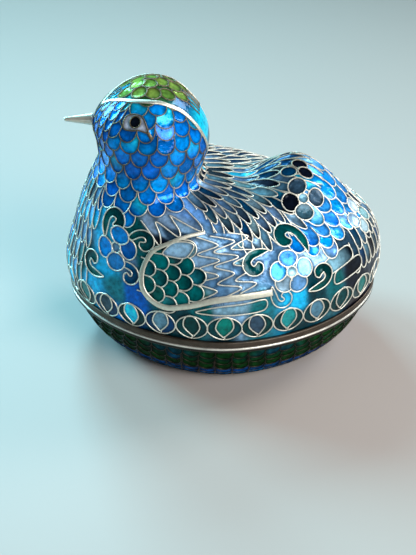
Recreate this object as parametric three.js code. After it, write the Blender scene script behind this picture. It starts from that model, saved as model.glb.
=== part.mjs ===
// A trinket box in the shape of a nesting bird, with a wired enamel skin on a thin metal shell.
// The lower half of the bird is an oval bowl and the rest of it, head and tail included, is the lid.
// Millimetres, +Z up. The beak points along -X and the origin is the middle of the flat underside.

import * as THREE from 'three';

// Driving dimensions of the whole box
const PARTING_HEIGHT = 16;
const RIM_HALF_LENGTH = 42.5;
const RIM_HALF_WIDTH = 33.7;
const SHELL_WALL = 1.6;
const SEAT_GAP = 0.3;

// Number of flat facets around every oval and up each face of the shells
const FACETS_AROUND = 48;
const LID_OUTER_STEPS = 40;
const LID_INNER_STEPS = 20;

// Brass edge rings
const BOWL_RIM_BOTTOM = 14.6;
const LID_RIM_TOP = 18;
const RIM_FULLNESS = 1.8;
const COLLAR_RISE = 2.4;
const COLLAR_CLEARANCE = 0.4;
const COLLAR_THICKNESS = 0.8;

// Brass bands laid on the enamel
const BAND_LIFT = 0.3;
const BAND_THICKNESS = 0.5;
const WING_BAND_WIDTH = 1.8;
const CROWN_BAND_WIDTH = 1.2;

// Beak
const BEAK_BASE = [-34.75, 0, 65.7];
const BEAK_LENGTH = 7.2;
const BEAK_BASE_RADIUS = 1.7;
const BEAK_TIP_RADIUS = 0.55;

// The lid is skinned over ovals that start level at the rim and tilt until they ring the neck.
// Each has its front and back point as [x, z], its half width, and how full its corners are:
// 2 is an ellipse, less is more pointed.
const LID_SECTIONS = [
  { front: [-43, LID_RIM_TOP], back: [43, LID_RIM_TOP], halfWidth: 33.8, fullness: 1.8 },
  { front: [-44, 22], back: [44.3, 25], halfWidth: 34.2, fullness: 1.8 },
  { front: [-43.8, 27], back: [42.8, 34], halfWidth: 33, fullness: 1.85 },
  { front: [-42.5, 32], back: [37.5, 40.5], halfWidth: 30.5, fullness: 1.9 },
  { front: [-40.7, 37.2], back: [27, 44], halfWidth: 27.5, fullness: 1.95 },
  { front: [-39, 43], back: [15, 47.5], halfWidth: 24.8, fullness: 2 },
  { front: [-36.8, 48.2], back: [1, 49.8], halfWidth: 21.4, fullness: 2 },
  { front: [-34.8, 52.4], back: [-5.2, 51.2], halfWidth: 18.4, fullness: 2 },
  { front: [-33.4, 56], back: [-4.6, 55.6], halfWidth: 16.9, fullness: 2 },
  { front: [-33.7, 61], back: [-3.4, 60.2], halfWidth: 16.5, fullness: 2 },
  { front: [-34.4, 65.2], back: [-4, 65], halfWidth: 16, fullness: 2 },
  { front: [-32.4, 69.5], back: [-6.8, 70], halfWidth: 13.9, fullness: 2 },
  { front: [-27, 74.1], back: [-11.6, 74.6], halfWidth: 9.2, fullness: 2 },
  { front: [-19.5, 77.3], back: [-19.5, 77.3], halfWidth: 0, fullness: 2 },
];
const CROWN_SECTION = LID_SECTIONS.length - 1;

// The hump of folded wing tips that stands on the rump
const HUMP = { x: 21.6, radius: 17, height: 9 };

// Level ovals of the bowl, from its flat foot up to the brass rim
const BOWL_SECTIONS = [
  { z: 0, halfLength: 31, halfWidth: 23.8 },
  { z: 1, halfLength: 33.6, halfWidth: 26 },
  { z: 3, halfLength: 36, halfWidth: 28.1 },
  { z: 6, halfLength: 38.4, halfWidth: 30.2 },
  { z: 10, halfLength: 40.5, halfWidth: 32 },
  { z: BOWL_RIM_BOTTOM, halfLength: 42.2, halfWidth: 33.4 },
];

// Paths of the bands, each point as [section, degrees around it from the tail end]
const WING_BAND_PATH = [
  [4.98, 285], [4.91, 274.3], [4.67, 262.9], [4.22, 250.6], [3.36, 242.4], [2.51, 240],
  [1.92, 242.5], [1.64, 247.8], [1.76, 255.3], [2.03, 267], [2.07, 279.1], [2.04, 289.3],
];
const CROWN_BAND_PATH = [
  [11.2, 180], [11.61, 193.1], [11.95, 217], [12.09, 247.1], [12.09, 274.6],
  [11.95, 298.2], [11.45, 319.9], [10.79, 329.2], [9.83, 335.6], [8.7, 345], [8.1, 360],
];
const WING_BAND_STEPS = 30;
const CROWN_BAND_STEPS = 48;

const enamelMaterial = new THREE.MeshStandardMaterial({
  name: 'enamel',
  color: '#2f77b4',
  roughness: 0.18,
  metalness: 0.3,
});
const bowlEnamelMaterial = new THREE.MeshStandardMaterial({
  name: 'bowl enamel',
  color: '#16554a',
  roughness: 0.2,
  metalness: 0.3,
});
const brassMaterial = new THREE.MeshStandardMaterial({
  name: 'brass',
  color: '#c9b98a',
  roughness: 0.35,
  metalness: 0.9,
});

// A point of an oval of the given half sizes, flattened or pointed by its fullness
function ovalOffset(halfLength, halfWidth, fullness, angle) {
  const along = Math.cos(angle);
  const across = Math.sin(angle);
  const power = 2 / fullness;
  return [
    halfLength * Math.sign(along) * Math.abs(along) ** power,
    halfWidth * Math.sign(across) * Math.abs(across) ** power,
  ];
}

function levelOval({ halfLength, halfWidth, z }) {
  const ring = [];
  for (let i = 0; i < FACETS_AROUND; i += 1) {
    const angle = (i / FACETS_AROUND) * 2 * Math.PI;
    const [x, y] = ovalOffset(halfLength, halfWidth, RIM_FULLNESS, angle);
    ring.push(new THREE.Vector3(x, y, z));
  }
  return ring;
}

// One section of the lid as a list of numbers, so that sections can be blended
function sectionNumbers({ front, back, halfWidth, fullness }) {
  return [...front, ...back, halfWidth, fullness];
}

// Past the crown the skin comes down the other side, so the next section is the last one turned round
function sectionBeyondCrown() {
  const { front, back, halfWidth, fullness } = LID_SECTIONS[CROWN_SECTION - 1];
  return sectionNumbers({ front: back, back: front, halfWidth: -halfWidth, fullness });
}

function sectionBelowRim() {
  const first = sectionNumbers(LID_SECTIONS[0]);
  const second = sectionNumbers(LID_SECTIONS[1]);
  return first.map((value, i) => 2 * value - second[i]);
}

const SECTION_TABLE = [
  sectionBelowRim(),
  ...LID_SECTIONS.map(sectionNumbers),
  sectionBeyondCrown(),
];

// Smooth curve through the section table: `section` 0 is the rim and CROWN_SECTION the crown
function blendedSection(section) {
  const below = Math.min(Math.floor(section), CROWN_SECTION - 1);
  const u = section - below;
  return SECTION_TABLE[0].map((_, i) => {
    const [p0, p1, p2, p3] = SECTION_TABLE.slice(below, below + 4).map((row) => row[i]);
    const slope = p2 - p0;
    const bend = 2 * p0 - 5 * p1 + 4 * p2 - p3;
    const twist = 3 * (p1 - p2) + p3 - p0;
    return 0.5 * (2 * p1 + slope * u + bend * u ** 2 + twist * u ** 3);
  });
}

function humpRise(x, y) {
  const away = Math.hypot(x - HUMP.x, y) / HUMP.radius;
  return away < 1 ? HUMP.height * (1 - away ** 2) ** 2 : 0;
}

// A point of the lid's outer skin
function lidPoint(section, angle) {
  const [frontX, frontZ, backX, backZ, halfWidth, fullness] = blendedSection(section);
  const [along, y] = ovalOffset(1, halfWidth, fullness, angle);
  const x = (frontX + backX) / 2 + ((backX - frontX) / 2) * along;
  const z = (frontZ + backZ) / 2 + ((backZ - frontZ) / 2) * along;
  return new THREE.Vector3(x, y, z + humpRise(x, y));
}

// Outward direction of the lid's skin
function lidNormal(section, angle) {
  const step = 0.02;
  const lower = Math.max(section - step, 0);
  const upper = Math.min(section + step, CROWN_SECTION - step);
  const up = lidPoint(upper, angle).sub(lidPoint(lower, angle));
  const around = lidPoint(section, angle + step).sub(lidPoint(section, angle - step));
  return around.cross(up).normalize();
}

// A closed body skinned over rings that all have the same number of points
function skinnedBody(rings, { startTip = null, endTip = null, wrapped = false } = {}) {
  const positions = [];
  const indices = [];
  const pushPoint = (point) => {
    positions.push(point.x, point.y, point.z);
    return positions.length / 3 - 1;
  };
  const count = rings[0].length;
  const first = rings.map((ring) => ring.map(pushPoint)[0]);
  const joinRings = (lower, upper) => {
    for (let i = 0; i < count; i += 1) {
      const next = (i + 1) % count;
      indices.push(lower + i, lower + next, upper + next);
      indices.push(lower + i, upper + next, upper + i);
    }
  };
  for (let r = 0; r + 1 < rings.length; r += 1) joinRings(first[r], first[r + 1]);
  if (wrapped) joinRings(first[rings.length - 1], first[0]);
  if (startTip) {
    const tip = pushPoint(startTip);
    for (let i = 0; i < count; i += 1) indices.push(tip, first[0] + ((i + 1) % count), first[0] + i);
  }
  if (endTip) {
    const tip = pushPoint(endTip);
    const last = first[rings.length - 1];
    for (let i = 0; i < count; i += 1) indices.push(tip, last + i, last + ((i + 1) % count));
  }
  const geometry = new THREE.BufferGeometry();
  geometry.setAttribute('position', new THREE.Float32BufferAttribute(positions, 3));
  geometry.setIndex(indices);
  geometry.computeVertexNormals();
  return geometry;
}

function namedMesh(name, geometry, material) {
  const mesh = new THREE.Mesh(geometry, material);
  mesh.name = name;
  return mesh;
}

function lidOuterRing(section) {
  const ring = [];
  for (let i = 0; i < FACETS_AROUND; i += 1) {
    ring.push(lidPoint(section, (i / FACETS_AROUND) * 2 * Math.PI));
  }
  return ring;
}

// The inner skin is the outer one moved in by the wall, with its lowest ring kept level
function lidInnerRing(section) {
  return lidOuterRing(section).map((point, i) => {
    const inward = lidNormal(section, (i / FACETS_AROUND) * 2 * Math.PI).negate();
    if (section === 0) inward.setZ(0).normalize();
    return point.addScaledVector(inward, SHELL_WALL);
  });
}

// Hollow from the rim up into the head, open underneath
function makeLid() {
  const outerRings = [];
  for (let step = 0; step < LID_OUTER_STEPS; step += 1) {
    outerRings.push(lidOuterRing((step / LID_OUTER_STEPS) * CROWN_SECTION));
  }
  const innerRings = [];
  for (let step = 0; step < LID_INNER_STEPS; step += 1) {
    innerRings.push(lidInnerRing((step / LID_INNER_STEPS) * CROWN_SECTION));
  }
  const crown = lidPoint(CROWN_SECTION, 0);
  const innerCrown = crown.clone().setZ(crown.z - SHELL_WALL);
  const geometry = skinnedBody([...innerRings.reverse(), ...outerRings], {
    startTip: innerCrown,
    endTip: crown,
  });
  return namedMesh('lid', geometry, enamelMaterial);
}

// An open oval tub with a flat foot and a flat floor
function makeBowl() {
  const outerRings = BOWL_SECTIONS.map(levelOval);
  const innerRings = BOWL_SECTIONS.map(({ z, halfLength, halfWidth }) =>
    levelOval({
      z: z === BOWL_RIM_BOTTOM ? z : SHELL_WALL + z * (1 - SHELL_WALL / BOWL_RIM_BOTTOM),
      halfLength: halfLength - SHELL_WALL,
      halfWidth: halfWidth - SHELL_WALL,
    }),
  );
  const geometry = skinnedBody([...outerRings, ...innerRings.reverse()], {
    startTip: new THREE.Vector3(0, 0, 0),
    endTip: new THREE.Vector3(0, 0, SHELL_WALL),
  });
  return namedMesh('bowl', geometry, bowlEnamelMaterial);
}

// A brass ring whose cross-section is a list of [distance out from the rim oval, height]
function makeRim(name, profile) {
  const rings = profile.map(([out, z]) =>
    levelOval({ z, halfLength: RIM_HALF_LENGTH + out, halfWidth: RIM_HALF_WIDTH + out }),
  );
  return namedMesh(name, skinnedBody(rings, { wrapped: true }), brassMaterial);
}

const LID_RIM_INNER = -1.9;
const LID_RIM_BOTTOM = PARTING_HEIGHT + SEAT_GAP;

function makeLidRim() {
  return makeRim('lid_rim', [
    [LID_RIM_INNER, LID_RIM_BOTTOM],
    [0.4, LID_RIM_BOTTOM],
    [0.7, LID_RIM_BOTTOM + 0.4],
    [0.7, LID_RIM_TOP - 0.4],
    [0.5, LID_RIM_TOP],
    [LID_RIM_INNER, LID_RIM_TOP],
  ]);
}

// The bowl's ring carries a collar that stands up inside the lid's ring and keeps the lid in place
function makeBowlRim() {
  const collarOuter = LID_RIM_INNER - COLLAR_CLEARANCE;
  const collarInner = collarOuter - COLLAR_THICKNESS;
  const collarTop = PARTING_HEIGHT + COLLAR_RISE;
  const chamfer = 0.25;
  return makeRim('bowl_rim', [
    [collarInner, BOWL_RIM_BOTTOM],
    [0.1, BOWL_RIM_BOTTOM],
    [0.6, BOWL_RIM_BOTTOM + 0.4],
    [0.6, PARTING_HEIGHT - 0.4],
    [0.2, PARTING_HEIGHT],
    [collarOuter, PARTING_HEIGHT],
    [collarOuter, collarTop - chamfer],
    [collarOuter - chamfer, collarTop],
    [collarInner, collarTop],
  ]);
}

// Four corners of a flat strip lying along the skin at one point of its path
function bandSection(path, u, width) {
  const placeAt = (v) => {
    const [section, degrees] = path.getPoint(THREE.MathUtils.clamp(v, 0, 1)).toArray();
    const angle = THREE.MathUtils.degToRad(degrees);
    return { point: lidPoint(section, angle), normal: lidNormal(section, angle) };
  };
  const nudge = 0.004;
  const { point, normal } = placeAt(u);
  const forward = placeAt(u + nudge).point.sub(placeAt(u - nudge).point).normalize();
  const sideways = normal.clone().cross(forward).normalize();
  const corner = (across, rise) =>
    point.clone().addScaledVector(sideways, across * width / 2).addScaledVector(normal, rise);
  return [
    corner(-1, BAND_LIFT),
    corner(1, BAND_LIFT),
    corner(1, BAND_LIFT + BAND_THICKNESS),
    corner(-1, BAND_LIFT + BAND_THICKNESS),
  ];
}

// Smooth path through [section, degrees] points, held in a curve's x and y
function bandPath(points) {
  const places = points.map(([section, degrees]) => new THREE.Vector3(section, degrees, 0));
  return new THREE.CatmullRomCurve3(places, false, 'catmullrom');
}

function centreOf(ring) {
  const centre = new THREE.Vector3();
  ring.forEach((point) => centre.add(point));
  return centre.divideScalar(ring.length);
}

function mirrored(ring) {
  return ring.map((point) => new THREE.Vector3(point.x, -point.y, point.z)).reverse();
}

function makeWingBand(name, isMirrored) {
  const path = bandPath(WING_BAND_PATH);
  const rings = [];
  for (let step = 0; step <= WING_BAND_STEPS; step += 1) {
    const ring = bandSection(path, step / WING_BAND_STEPS, WING_BAND_WIDTH);
    rings.push(isMirrored ? mirrored(ring) : ring);
  }
  const geometry = skinnedBody(rings, {
    startTip: centreOf(rings[0]),
    endTip: centreOf(rings[rings.length - 1]),
  });
  return namedMesh(name, geometry, brassMaterial);
}

// The crown band runs down one side of the head, crosses the centre line and returns on the other
function makeCrownBand() {
  const farSide = CROWN_BAND_PATH.slice(0, -1).reverse().map(([section, degrees]) =>
    [section, 720 - degrees]);
  const path = bandPath([...CROWN_BAND_PATH, ...farSide]);
  const rings = [];
  for (let step = 0; step < CROWN_BAND_STEPS; step += 1) {
    rings.push(bandSection(path, step / CROWN_BAND_STEPS, CROWN_BAND_WIDTH));
  }
  return namedMesh('crown_band', skinnedBody(rings, { wrapped: true }), brassMaterial);
}

// A slim cone with a blunt tip, soldered to the front of the head
function makeBeak() {
  const profile = [
    new THREE.Vector2(0, 0),
    new THREE.Vector2(BEAK_BASE_RADIUS, 0),
    new THREE.Vector2(BEAK_BASE_RADIUS * 0.78, BEAK_LENGTH * 0.2),
    new THREE.Vector2(BEAK_BASE_RADIUS * 0.55, BEAK_LENGTH * 0.6),
    new THREE.Vector2(BEAK_TIP_RADIUS, BEAK_LENGTH * 0.95),
    new THREE.Vector2(0, BEAK_LENGTH),
  ];
  const beak = namedMesh('beak', new THREE.LatheGeometry(profile, 20), brassMaterial);
  beak.position.set(...BEAK_BASE);
  beak.rotation.z = Math.PI / 2;
  return beak;
}

const birdBox = new THREE.Group();
birdBox.name = 'bird_box';
birdBox.add(
  makeBowl(),
  makeBowlRim(),
  makeLidRim(),
  makeLid(),
  makeBeak(),
  makeCrownBand(),
  makeWingBand('wing_band_left', false),
  makeWingBand('wing_band_right', true),
);

export default birdBox;
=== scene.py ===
"""Bird-shaped trinket box in wired enamel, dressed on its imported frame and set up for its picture."""

import logging
import math
from dataclasses import dataclass, field
from enum import Enum
from typing import Iterable, Sequence

import bpy
import numpy as np
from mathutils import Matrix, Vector
from mathutils.geometry import delaunay_2d_cdt
from mathutils.kdtree import KDTree


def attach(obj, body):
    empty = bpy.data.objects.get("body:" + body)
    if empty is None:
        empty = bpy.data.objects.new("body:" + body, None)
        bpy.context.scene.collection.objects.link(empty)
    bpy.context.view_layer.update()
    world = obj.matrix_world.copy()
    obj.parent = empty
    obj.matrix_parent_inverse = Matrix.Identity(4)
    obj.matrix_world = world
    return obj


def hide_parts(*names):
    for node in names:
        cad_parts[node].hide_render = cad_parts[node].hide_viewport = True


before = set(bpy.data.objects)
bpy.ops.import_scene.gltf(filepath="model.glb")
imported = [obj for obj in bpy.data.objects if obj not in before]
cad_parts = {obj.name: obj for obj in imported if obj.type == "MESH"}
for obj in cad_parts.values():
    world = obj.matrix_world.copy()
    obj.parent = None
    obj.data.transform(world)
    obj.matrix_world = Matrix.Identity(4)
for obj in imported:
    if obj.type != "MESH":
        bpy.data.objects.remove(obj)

LOG = logging.getLogger("bird_box")
BODY = "root"
MM = 0.001

# Degrees round the box at the beak, at the middle of the near side and at the tail.
FRONT, FLANK, REAR = 180.0, 270.0, 360.0

Array = np.ndarray
Place = tuple[float, float]


class Tint(Enum):
    """Enamel colours, as linear red, green and blue."""

    COBALT = (0.0, 0.155, 0.64)
    AZURE = (0.0, 0.31, 0.93)
    DEEP_BLUE = (0.0, 0.06, 0.17)
    SKY = (0.03, 0.33, 0.85)
    PALE_SKY = (0.18, 0.47, 0.88)
    MILK = (0.60, 0.76, 0.92)
    CYAN = (0.01, 0.60, 0.95)
    LIME = (0.26, 0.44, 0.07)
    LEAF = (0.14, 0.28, 0.05)
    DEEP_LIME = (0.04, 0.17, 0.05)
    TEAL = (0.0, 0.16, 0.16)
    DEEP_TEAL = (0.0, 0.045, 0.055)
    SEA = (0.01, 0.24, 0.27)
    STEEL = (0.12, 0.29, 0.46)
    PALE_STEEL = (0.31, 0.57, 0.76)
    SLATE = (0.03, 0.075, 0.12)
    INK = (0.003, 0.006, 0.015)
    GREEN = (0.006, 0.085, 0.014)


@dataclass(frozen=True)
class Section:
    """One oval that the lid is skinned over.

    Args:
        front: its foremost point as (x, z), in millimetres.
        back: its rearmost point as (x, z), in millimetres.
        half_width: half its width across the bird.
        fullness: 2 for an ellipse, less for a more pointed oval.
    """

    front: Place
    back: Place
    half_width: float
    fullness: float

    def numbers(self) -> list[float]:
        """The section as one row of a table."""
        return [*self.front, *self.back, self.half_width, self.fullness]


LID_SECTIONS: tuple[Section, ...] = (
    Section((-43.0, 18.0), (43.0, 18.0), 33.8, 1.8),
    Section((-44.0, 22.0), (44.3, 25.0), 34.2, 1.8),
    Section((-43.8, 27.0), (42.8, 34.0), 33.0, 1.85),
    Section((-42.5, 32.0), (37.5, 40.5), 30.5, 1.9),
    Section((-40.7, 37.2), (27.0, 44.0), 27.5, 1.95),
    Section((-39.0, 43.0), (15.0, 47.5), 24.8, 2.0),
    Section((-36.8, 48.2), (1.0, 49.8), 21.4, 2.0),
    Section((-34.8, 52.4), (-5.2, 51.2), 18.4, 2.0),
    Section((-33.4, 56.0), (-4.6, 55.6), 16.9, 2.0),
    Section((-33.7, 61.0), (-3.4, 60.2), 16.5, 2.0),
    Section((-34.4, 65.2), (-4.0, 65.0), 16.0, 2.0),
    Section((-32.4, 69.5), (-6.8, 70.0), 13.9, 2.0),
    Section((-27.0, 74.1), (-11.6, 74.6), 9.2, 2.0),
    Section((-19.5, 77.3), (-19.5, 77.3), 0.0, 2.0),
)


def superellipse(half_length: Array, half_width: Array, fullness: Array, angle: Array) -> tuple[Array, Array]:
    """Points of ovals.

    Args:
        half_length: half size along the first axis.
        half_width: half size along the second axis.
        fullness: 2 for an ellipse, less for a more pointed oval.
        angle: angle round the oval, in radians.

    Returns:
        The coordinates along the two axes.
    """
    along, across = np.cos(angle), np.sin(angle)
    power = 2.0 / fullness
    first = half_length * np.sign(along) * np.abs(along) ** power
    second = half_width * np.sign(across) * np.abs(across) ** power
    return first, second


def path_lengths(points: Array) -> Array:
    """Distance along a line of points from its start to each of them."""
    return np.concatenate([[0.0], np.cumsum(np.linalg.norm(np.diff(points, axis=0), axis=1))])


def spline(knots: Sequence[Array], u: Array) -> Array:
    """The smooth curve from the second to the third of four knots, for u from 0 to 1."""
    p0, p1, p2, p3 = knots
    return 0.5 * (2 * p1 + (p2 - p0) * u + (2 * p0 - 5 * p1 + 4 * p2 - p3) * u**2
                  + (3 * (p1 - p2) + p3 - p0) * u**3)


def along_skin(rise: Array, around: Array, moves: Array) -> Array:
    """The changes of (level, degrees) that make given moves along a skin.

    Args:
        rise: how each surface point changes per level.
        around: how each surface point changes per degree.
        moves: the moves in millimetres.

    Returns:
        Rows of (level, degrees).
    """
    rr, aa, ra = (np.sum(p * q, axis=1) for p, q in ((rise, rise), (around, around), (rise, around)))
    fr, fa = np.sum(moves * rise, axis=1), np.sum(moves * around, axis=1)
    det = np.maximum(rr * aa - ra * ra, 1e-12)
    return np.column_stack([fr * aa - fa * ra, fa * rr - fr * ra]) / det[:, None]


class Skin:
    """A smooth surface over (level, degrees), where degrees run round from the tail end.

    The half that faces the picture runs from FRONT to REAR.
    """

    table: Array
    top_level: float
    level_step: float = 0.01
    degree_step: float = 0.1
    pole_margin: float = 0.03

    @property
    def highest(self) -> float:
        """The highest level that a line may reach, just short of the top."""
        return self.top_level - 0.01

    def row(self, level: Array) -> Array:
        """The table of ovals at some levels, smoothly between the rows that it holds."""
        level = np.clip(level, 0.0, self.top_level - 1e-9)
        lower = level.astype(int)
        return spline([self.table[lower + i] for i in range(4)], (level - lower)[:, None])

    def point(self, places: Array) -> Array:
        """Surface points in millimetres for rows of (level, degrees)."""
        raise NotImplementedError

    def level_line(self, level: float) -> tuple[Array, Array]:
        """Degrees along the drawn half at one level, and the distance to each of them."""
        sweep = np.linspace(FRONT, REAR, 181)
        return sweep, path_lengths(self.point(np.column_stack([np.full_like(sweep, level), sweep])))

    def climb(self, levels: Array, degrees: float) -> Array:
        """Distance up the skin to each of some levels, along one line of degrees."""
        return path_lengths(self.point(np.column_stack([levels, np.full_like(levels, degrees)])))

    def slopes(self, places: Array) -> tuple[Array, Array]:
        """How the surface point changes per level and per degree."""
        level, degrees = places.T
        low = np.clip(level - self.level_step, 0.0, self.top_level)
        high = np.clip(level + self.level_step, 0.0, self.top_level)
        rise = self.point(np.column_stack([high, degrees])) - self.point(np.column_stack([low, degrees]))
        step = np.array([0.0, self.degree_step])
        around = self.point(places + step) - self.point(places - step)
        return rise / (high - low)[:, None], around / (2 * self.degree_step)

    def normal(self, places: Array) -> Array:
        """Outward unit directions."""
        inner = places.copy()
        inner[:, 0] = np.minimum(inner[:, 0], self.top_level - self.pole_margin)
        rise, around = self.slopes(inner)
        out = np.cross(around, rise)
        return out / np.linalg.norm(out, axis=1)[:, None]

    def chart(self, places: Array) -> Array:
        """Flat drawing coordinates in which the skin is cut into cells."""
        raise NotImplementedError

    def unchart(self, flat: Array) -> Array:
        """The (level, degrees) of flat drawing coordinates."""
        raise NotImplementedError

    def frame(self, place: Place) -> tuple[Array, Array]:
        """The unit directions that run right and up along the skin at a place."""
        rise, around = self.slopes(np.array([place], float))
        east = around[0] / np.linalg.norm(around[0])
        north = rise[0] - east * (rise[0] @ east)
        return east, north / np.linalg.norm(north)

    def walk(self, start: Place, offsets: Array, turn: float = 0.0, steps: int = 6) -> Array:
        """Places reached by walking along the skin.

        Args:
            start: where the walk begins.
            offsets: rows of (right, up) in millimetres, as seen on the side facing the picture.
            turn: angle in degrees by which the offsets are turned first, anticlockwise.
            steps: number of straight pieces in each walk.

        Returns:
            Rows of (level, degrees).
        """
        cosine, sine = math.cos(math.radians(turn)), math.sin(math.radians(turn))
        right = offsets[:, 0] * cosine - offsets[:, 1] * sine
        up = offsets[:, 0] * sine + offsets[:, 1] * cosine
        origin = np.array([start], float)
        east, north = self.frame(start)
        stride = (right[:, None] * east + up[:, None] * north) / steps
        length = np.linalg.norm(stride, axis=1)
        places = np.repeat(origin, len(offsets), axis=0)
        for _ in range(steps):
            rise, around = self.slopes(places)
            out = np.cross(around, rise)
            out /= np.linalg.norm(out, axis=1)[:, None]
            flat = stride - out * np.sum(stride * out, axis=1)[:, None]
            flat *= (length / np.maximum(np.linalg.norm(flat, axis=1), 1e-9))[:, None]
            places = places + along_skin(rise, around, flat)
            places[:, 0] = np.clip(places[:, 0], 0.0, self.highest)
        return places


class LidSkin(Skin):
    """The outside of the bird, from the lid's edge at level 0 up to the crown."""

    hump_x: float = 21.6
    hump_radius: float = 17.0
    hump_height: float = 9.0
    brow: float = 9.6

    def __init__(self) -> None:
        """Prepares the table of sections and the drawing scale."""
        rows = [section.numbers() for section in LID_SECTIONS]
        below = [2 * a - b for a, b in zip(rows[0], rows[1])]
        last = LID_SECTIONS[-2]
        beyond = Section(last.back, last.front, -last.half_width, last.fullness).numbers()
        self.table = np.array([below, *rows, beyond])
        self.top_level = float(len(rows) - 1)
        self.levels = np.linspace(0.0, self.top_level, 400)
        lengths = self.climb(self.levels, FLANK)
        self.reach = lengths[-1] - lengths

    def point(self, places: Array) -> Array:
        """Surface points in millimetres for rows of (level, degrees)."""
        front_x, front_z, back_x, back_z, half_width, fullness = self.row(places[:, 0]).T
        along, y = superellipse(np.ones_like(half_width), half_width, fullness, np.radians(places[:, 1]))
        x = (front_x + back_x) / 2 + (back_x - front_x) / 2 * along
        z = (front_z + back_z) / 2 + (back_z - front_z) / 2 * along
        away = np.minimum(((x - self.hump_x) ** 2 + y**2) / self.hump_radius**2, 1.0)
        return np.column_stack([x, y, z + self.hump_height * (1 - away) ** 2])

    def chart(self, places: Array) -> Array:
        """A disc round the crown, whose radius is the distance down the bird's side."""
        radius = np.interp(places[:, 0], self.levels, self.reach)
        turn = np.radians(places[:, 1] - FRONT)
        return np.column_stack([-radius * np.cos(turn), -radius * np.sin(turn)])

    def unchart(self, flat: Array) -> Array:
        """The (level, degrees) of flat drawing coordinates."""
        radius = np.hypot(flat[:, 0], flat[:, 1])
        level = np.interp(-radius, -self.reach, self.levels)
        turn = np.arctan2(-flat[:, 1], -flat[:, 0])
        return np.column_stack([level, np.degrees(turn) + FRONT])

    def from_above(self, plan: Array) -> Array:
        """Places on the crown, found by halving, that lie straight below points (x, y) in millimetres."""
        low, high = np.full(len(plan), self.brow), np.full(len(plan), self.highest)
        for _ in range(24):
            level = (low + high) / 2
            back, front, side = (self.point(np.column_stack([level, np.full_like(level, turn)]))
                                 for turn in (REAR, FRONT, 90.0))
            along = (2 * plan[:, 0] - back[:, 0] - front[:, 0]) / np.maximum(back[:, 0] - front[:, 0], 1e-6)
            across = plan[:, 1] / np.maximum(side[:, 1], 1e-6)
            outside = along**2 + across**2 > 1.0
            low, high = np.where(outside, low, level), np.where(outside, level, high)
        degrees = np.degrees(np.arctan2(across, along)) % 360.0
        return np.column_stack([level, np.where(degrees < 90.0, degrees + 360.0, degrees)])


@dataclass(frozen=True)
class Level:
    """A level oval of the bowl, in millimetres."""

    z: float
    half_length: float
    half_width: float


BOWL_LEVELS: tuple[Level, ...] = (
    Level(0.0, 31.0, 23.8),
    Level(1.0, 33.6, 26.0),
    Level(3.0, 36.0, 28.1),
    Level(6.0, 38.4, 30.2),
    Level(10.0, 40.5, 32.0),
    Level(14.6, 42.2, 33.4),
)


class BowlSkin(Skin):
    """The outside of the bowl, from its foot at level 0 up to the brass rim."""

    fullness: float = 1.8
    drawing_radius: float = 38.0

    def __init__(self) -> None:
        """Prepares a smooth profile through the bowl's ovals."""
        rows = np.array([[lv.z, lv.half_length, lv.half_width] for lv in BOWL_LEVELS])
        start, end = 2 * rows[0] - rows[1], 2 * rows[-1] - rows[-2]
        self.table = np.vstack([start, rows, end])
        self.top_level = float(len(rows) - 1)
        self.levels = np.linspace(0.0, self.top_level, 200)
        self.reach = self.climb(self.levels, FLANK)

    def point(self, places: Array) -> Array:
        """Surface points in millimetres for rows of (level, degrees)."""
        z, half_length, half_width = self.row(places[:, 0]).T
        x, y = superellipse(half_length, half_width, np.full_like(z, self.fullness), np.radians(places[:, 1]))
        return np.column_stack([x, y, np.maximum(z, 0.0)])

    def chart(self, places: Array) -> Array:
        """A strip: distance round the bowl and distance up its side."""
        return np.column_stack([
            np.radians(places[:, 1] - FLANK) * self.drawing_radius,
            np.interp(places[:, 0], self.levels, self.reach),
        ])

    def unchart(self, flat: Array) -> Array:
        """The (level, degrees) of flat drawing coordinates."""
        level = np.interp(flat[:, 1], self.reach, self.levels)
        return np.column_stack([level, np.degrees(flat[:, 0] / self.drawing_radius) + FLANK])


def smooth_line(points: Sequence[Place], spacing: float, closed: bool = False) -> Array:
    """A smooth curve through points.

    Args:
        points: the points that the curve passes.
        spacing: about how far apart the returned points lie.
        closed: whether the curve ends where it starts.

    Returns:
        Rows of points on the curve.
    """
    knots = np.array(points, float)
    if closed:
        knots = np.vstack([knots[-1], knots, knots[0], knots[1]])
    else:
        knots = np.vstack([2 * knots[0] - knots[1], knots, 2 * knots[-1] - knots[-2]])
    parts = []
    for i in range(1, len(knots) - 2):
        count = max(2, int(math.ceil(np.linalg.norm(knots[i + 1] - knots[i]) / spacing)))
        parts.append(spline(knots[i - 1 : i + 3], (np.arange(count) / count)[:, None]))
    parts.append(knots[-2][None, :])
    return np.vstack(parts)


def smooth_places(path: Sequence[Place], weight: float, spacing: float) -> Array:
    """A smooth line through places on a skin.

    Args:
        path: the places, as (level, degrees).
        weight: degrees that count as much as one level.
        spacing: about how far apart the returned places lie, in levels.

    Returns:
        Rows of (level, degrees).
    """
    line = smooth_line([(degrees / weight, level) for level, degrees in path], spacing)
    return np.column_stack([line[:, 1], line[:, 0] * weight])


def oval_line(half_width: float, half_height: float, point_down: float = 0.0, count: int = 28) -> Array:
    """A closed oval round the origin.

    Args:
        half_width: half its width.
        half_height: half its height.
        point_down: 0 for a plain ellipse, up to about 1 for a bud drawn out to a tip below.
        count: number of points.

    Returns:
        Rows of points, the first repeated at the end.
    """
    angle = np.linspace(0.0, 2 * math.pi, count + 1) - math.pi / 2
    x, y = half_width * np.cos(angle), half_height * np.sin(angle)
    sharpest = 0.75
    taper = 1.0 - point_down * np.clip(-y / half_height, 0.0, 1.0) ** 1.5 * sharpest
    return np.column_stack([x * taper, y])


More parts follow.
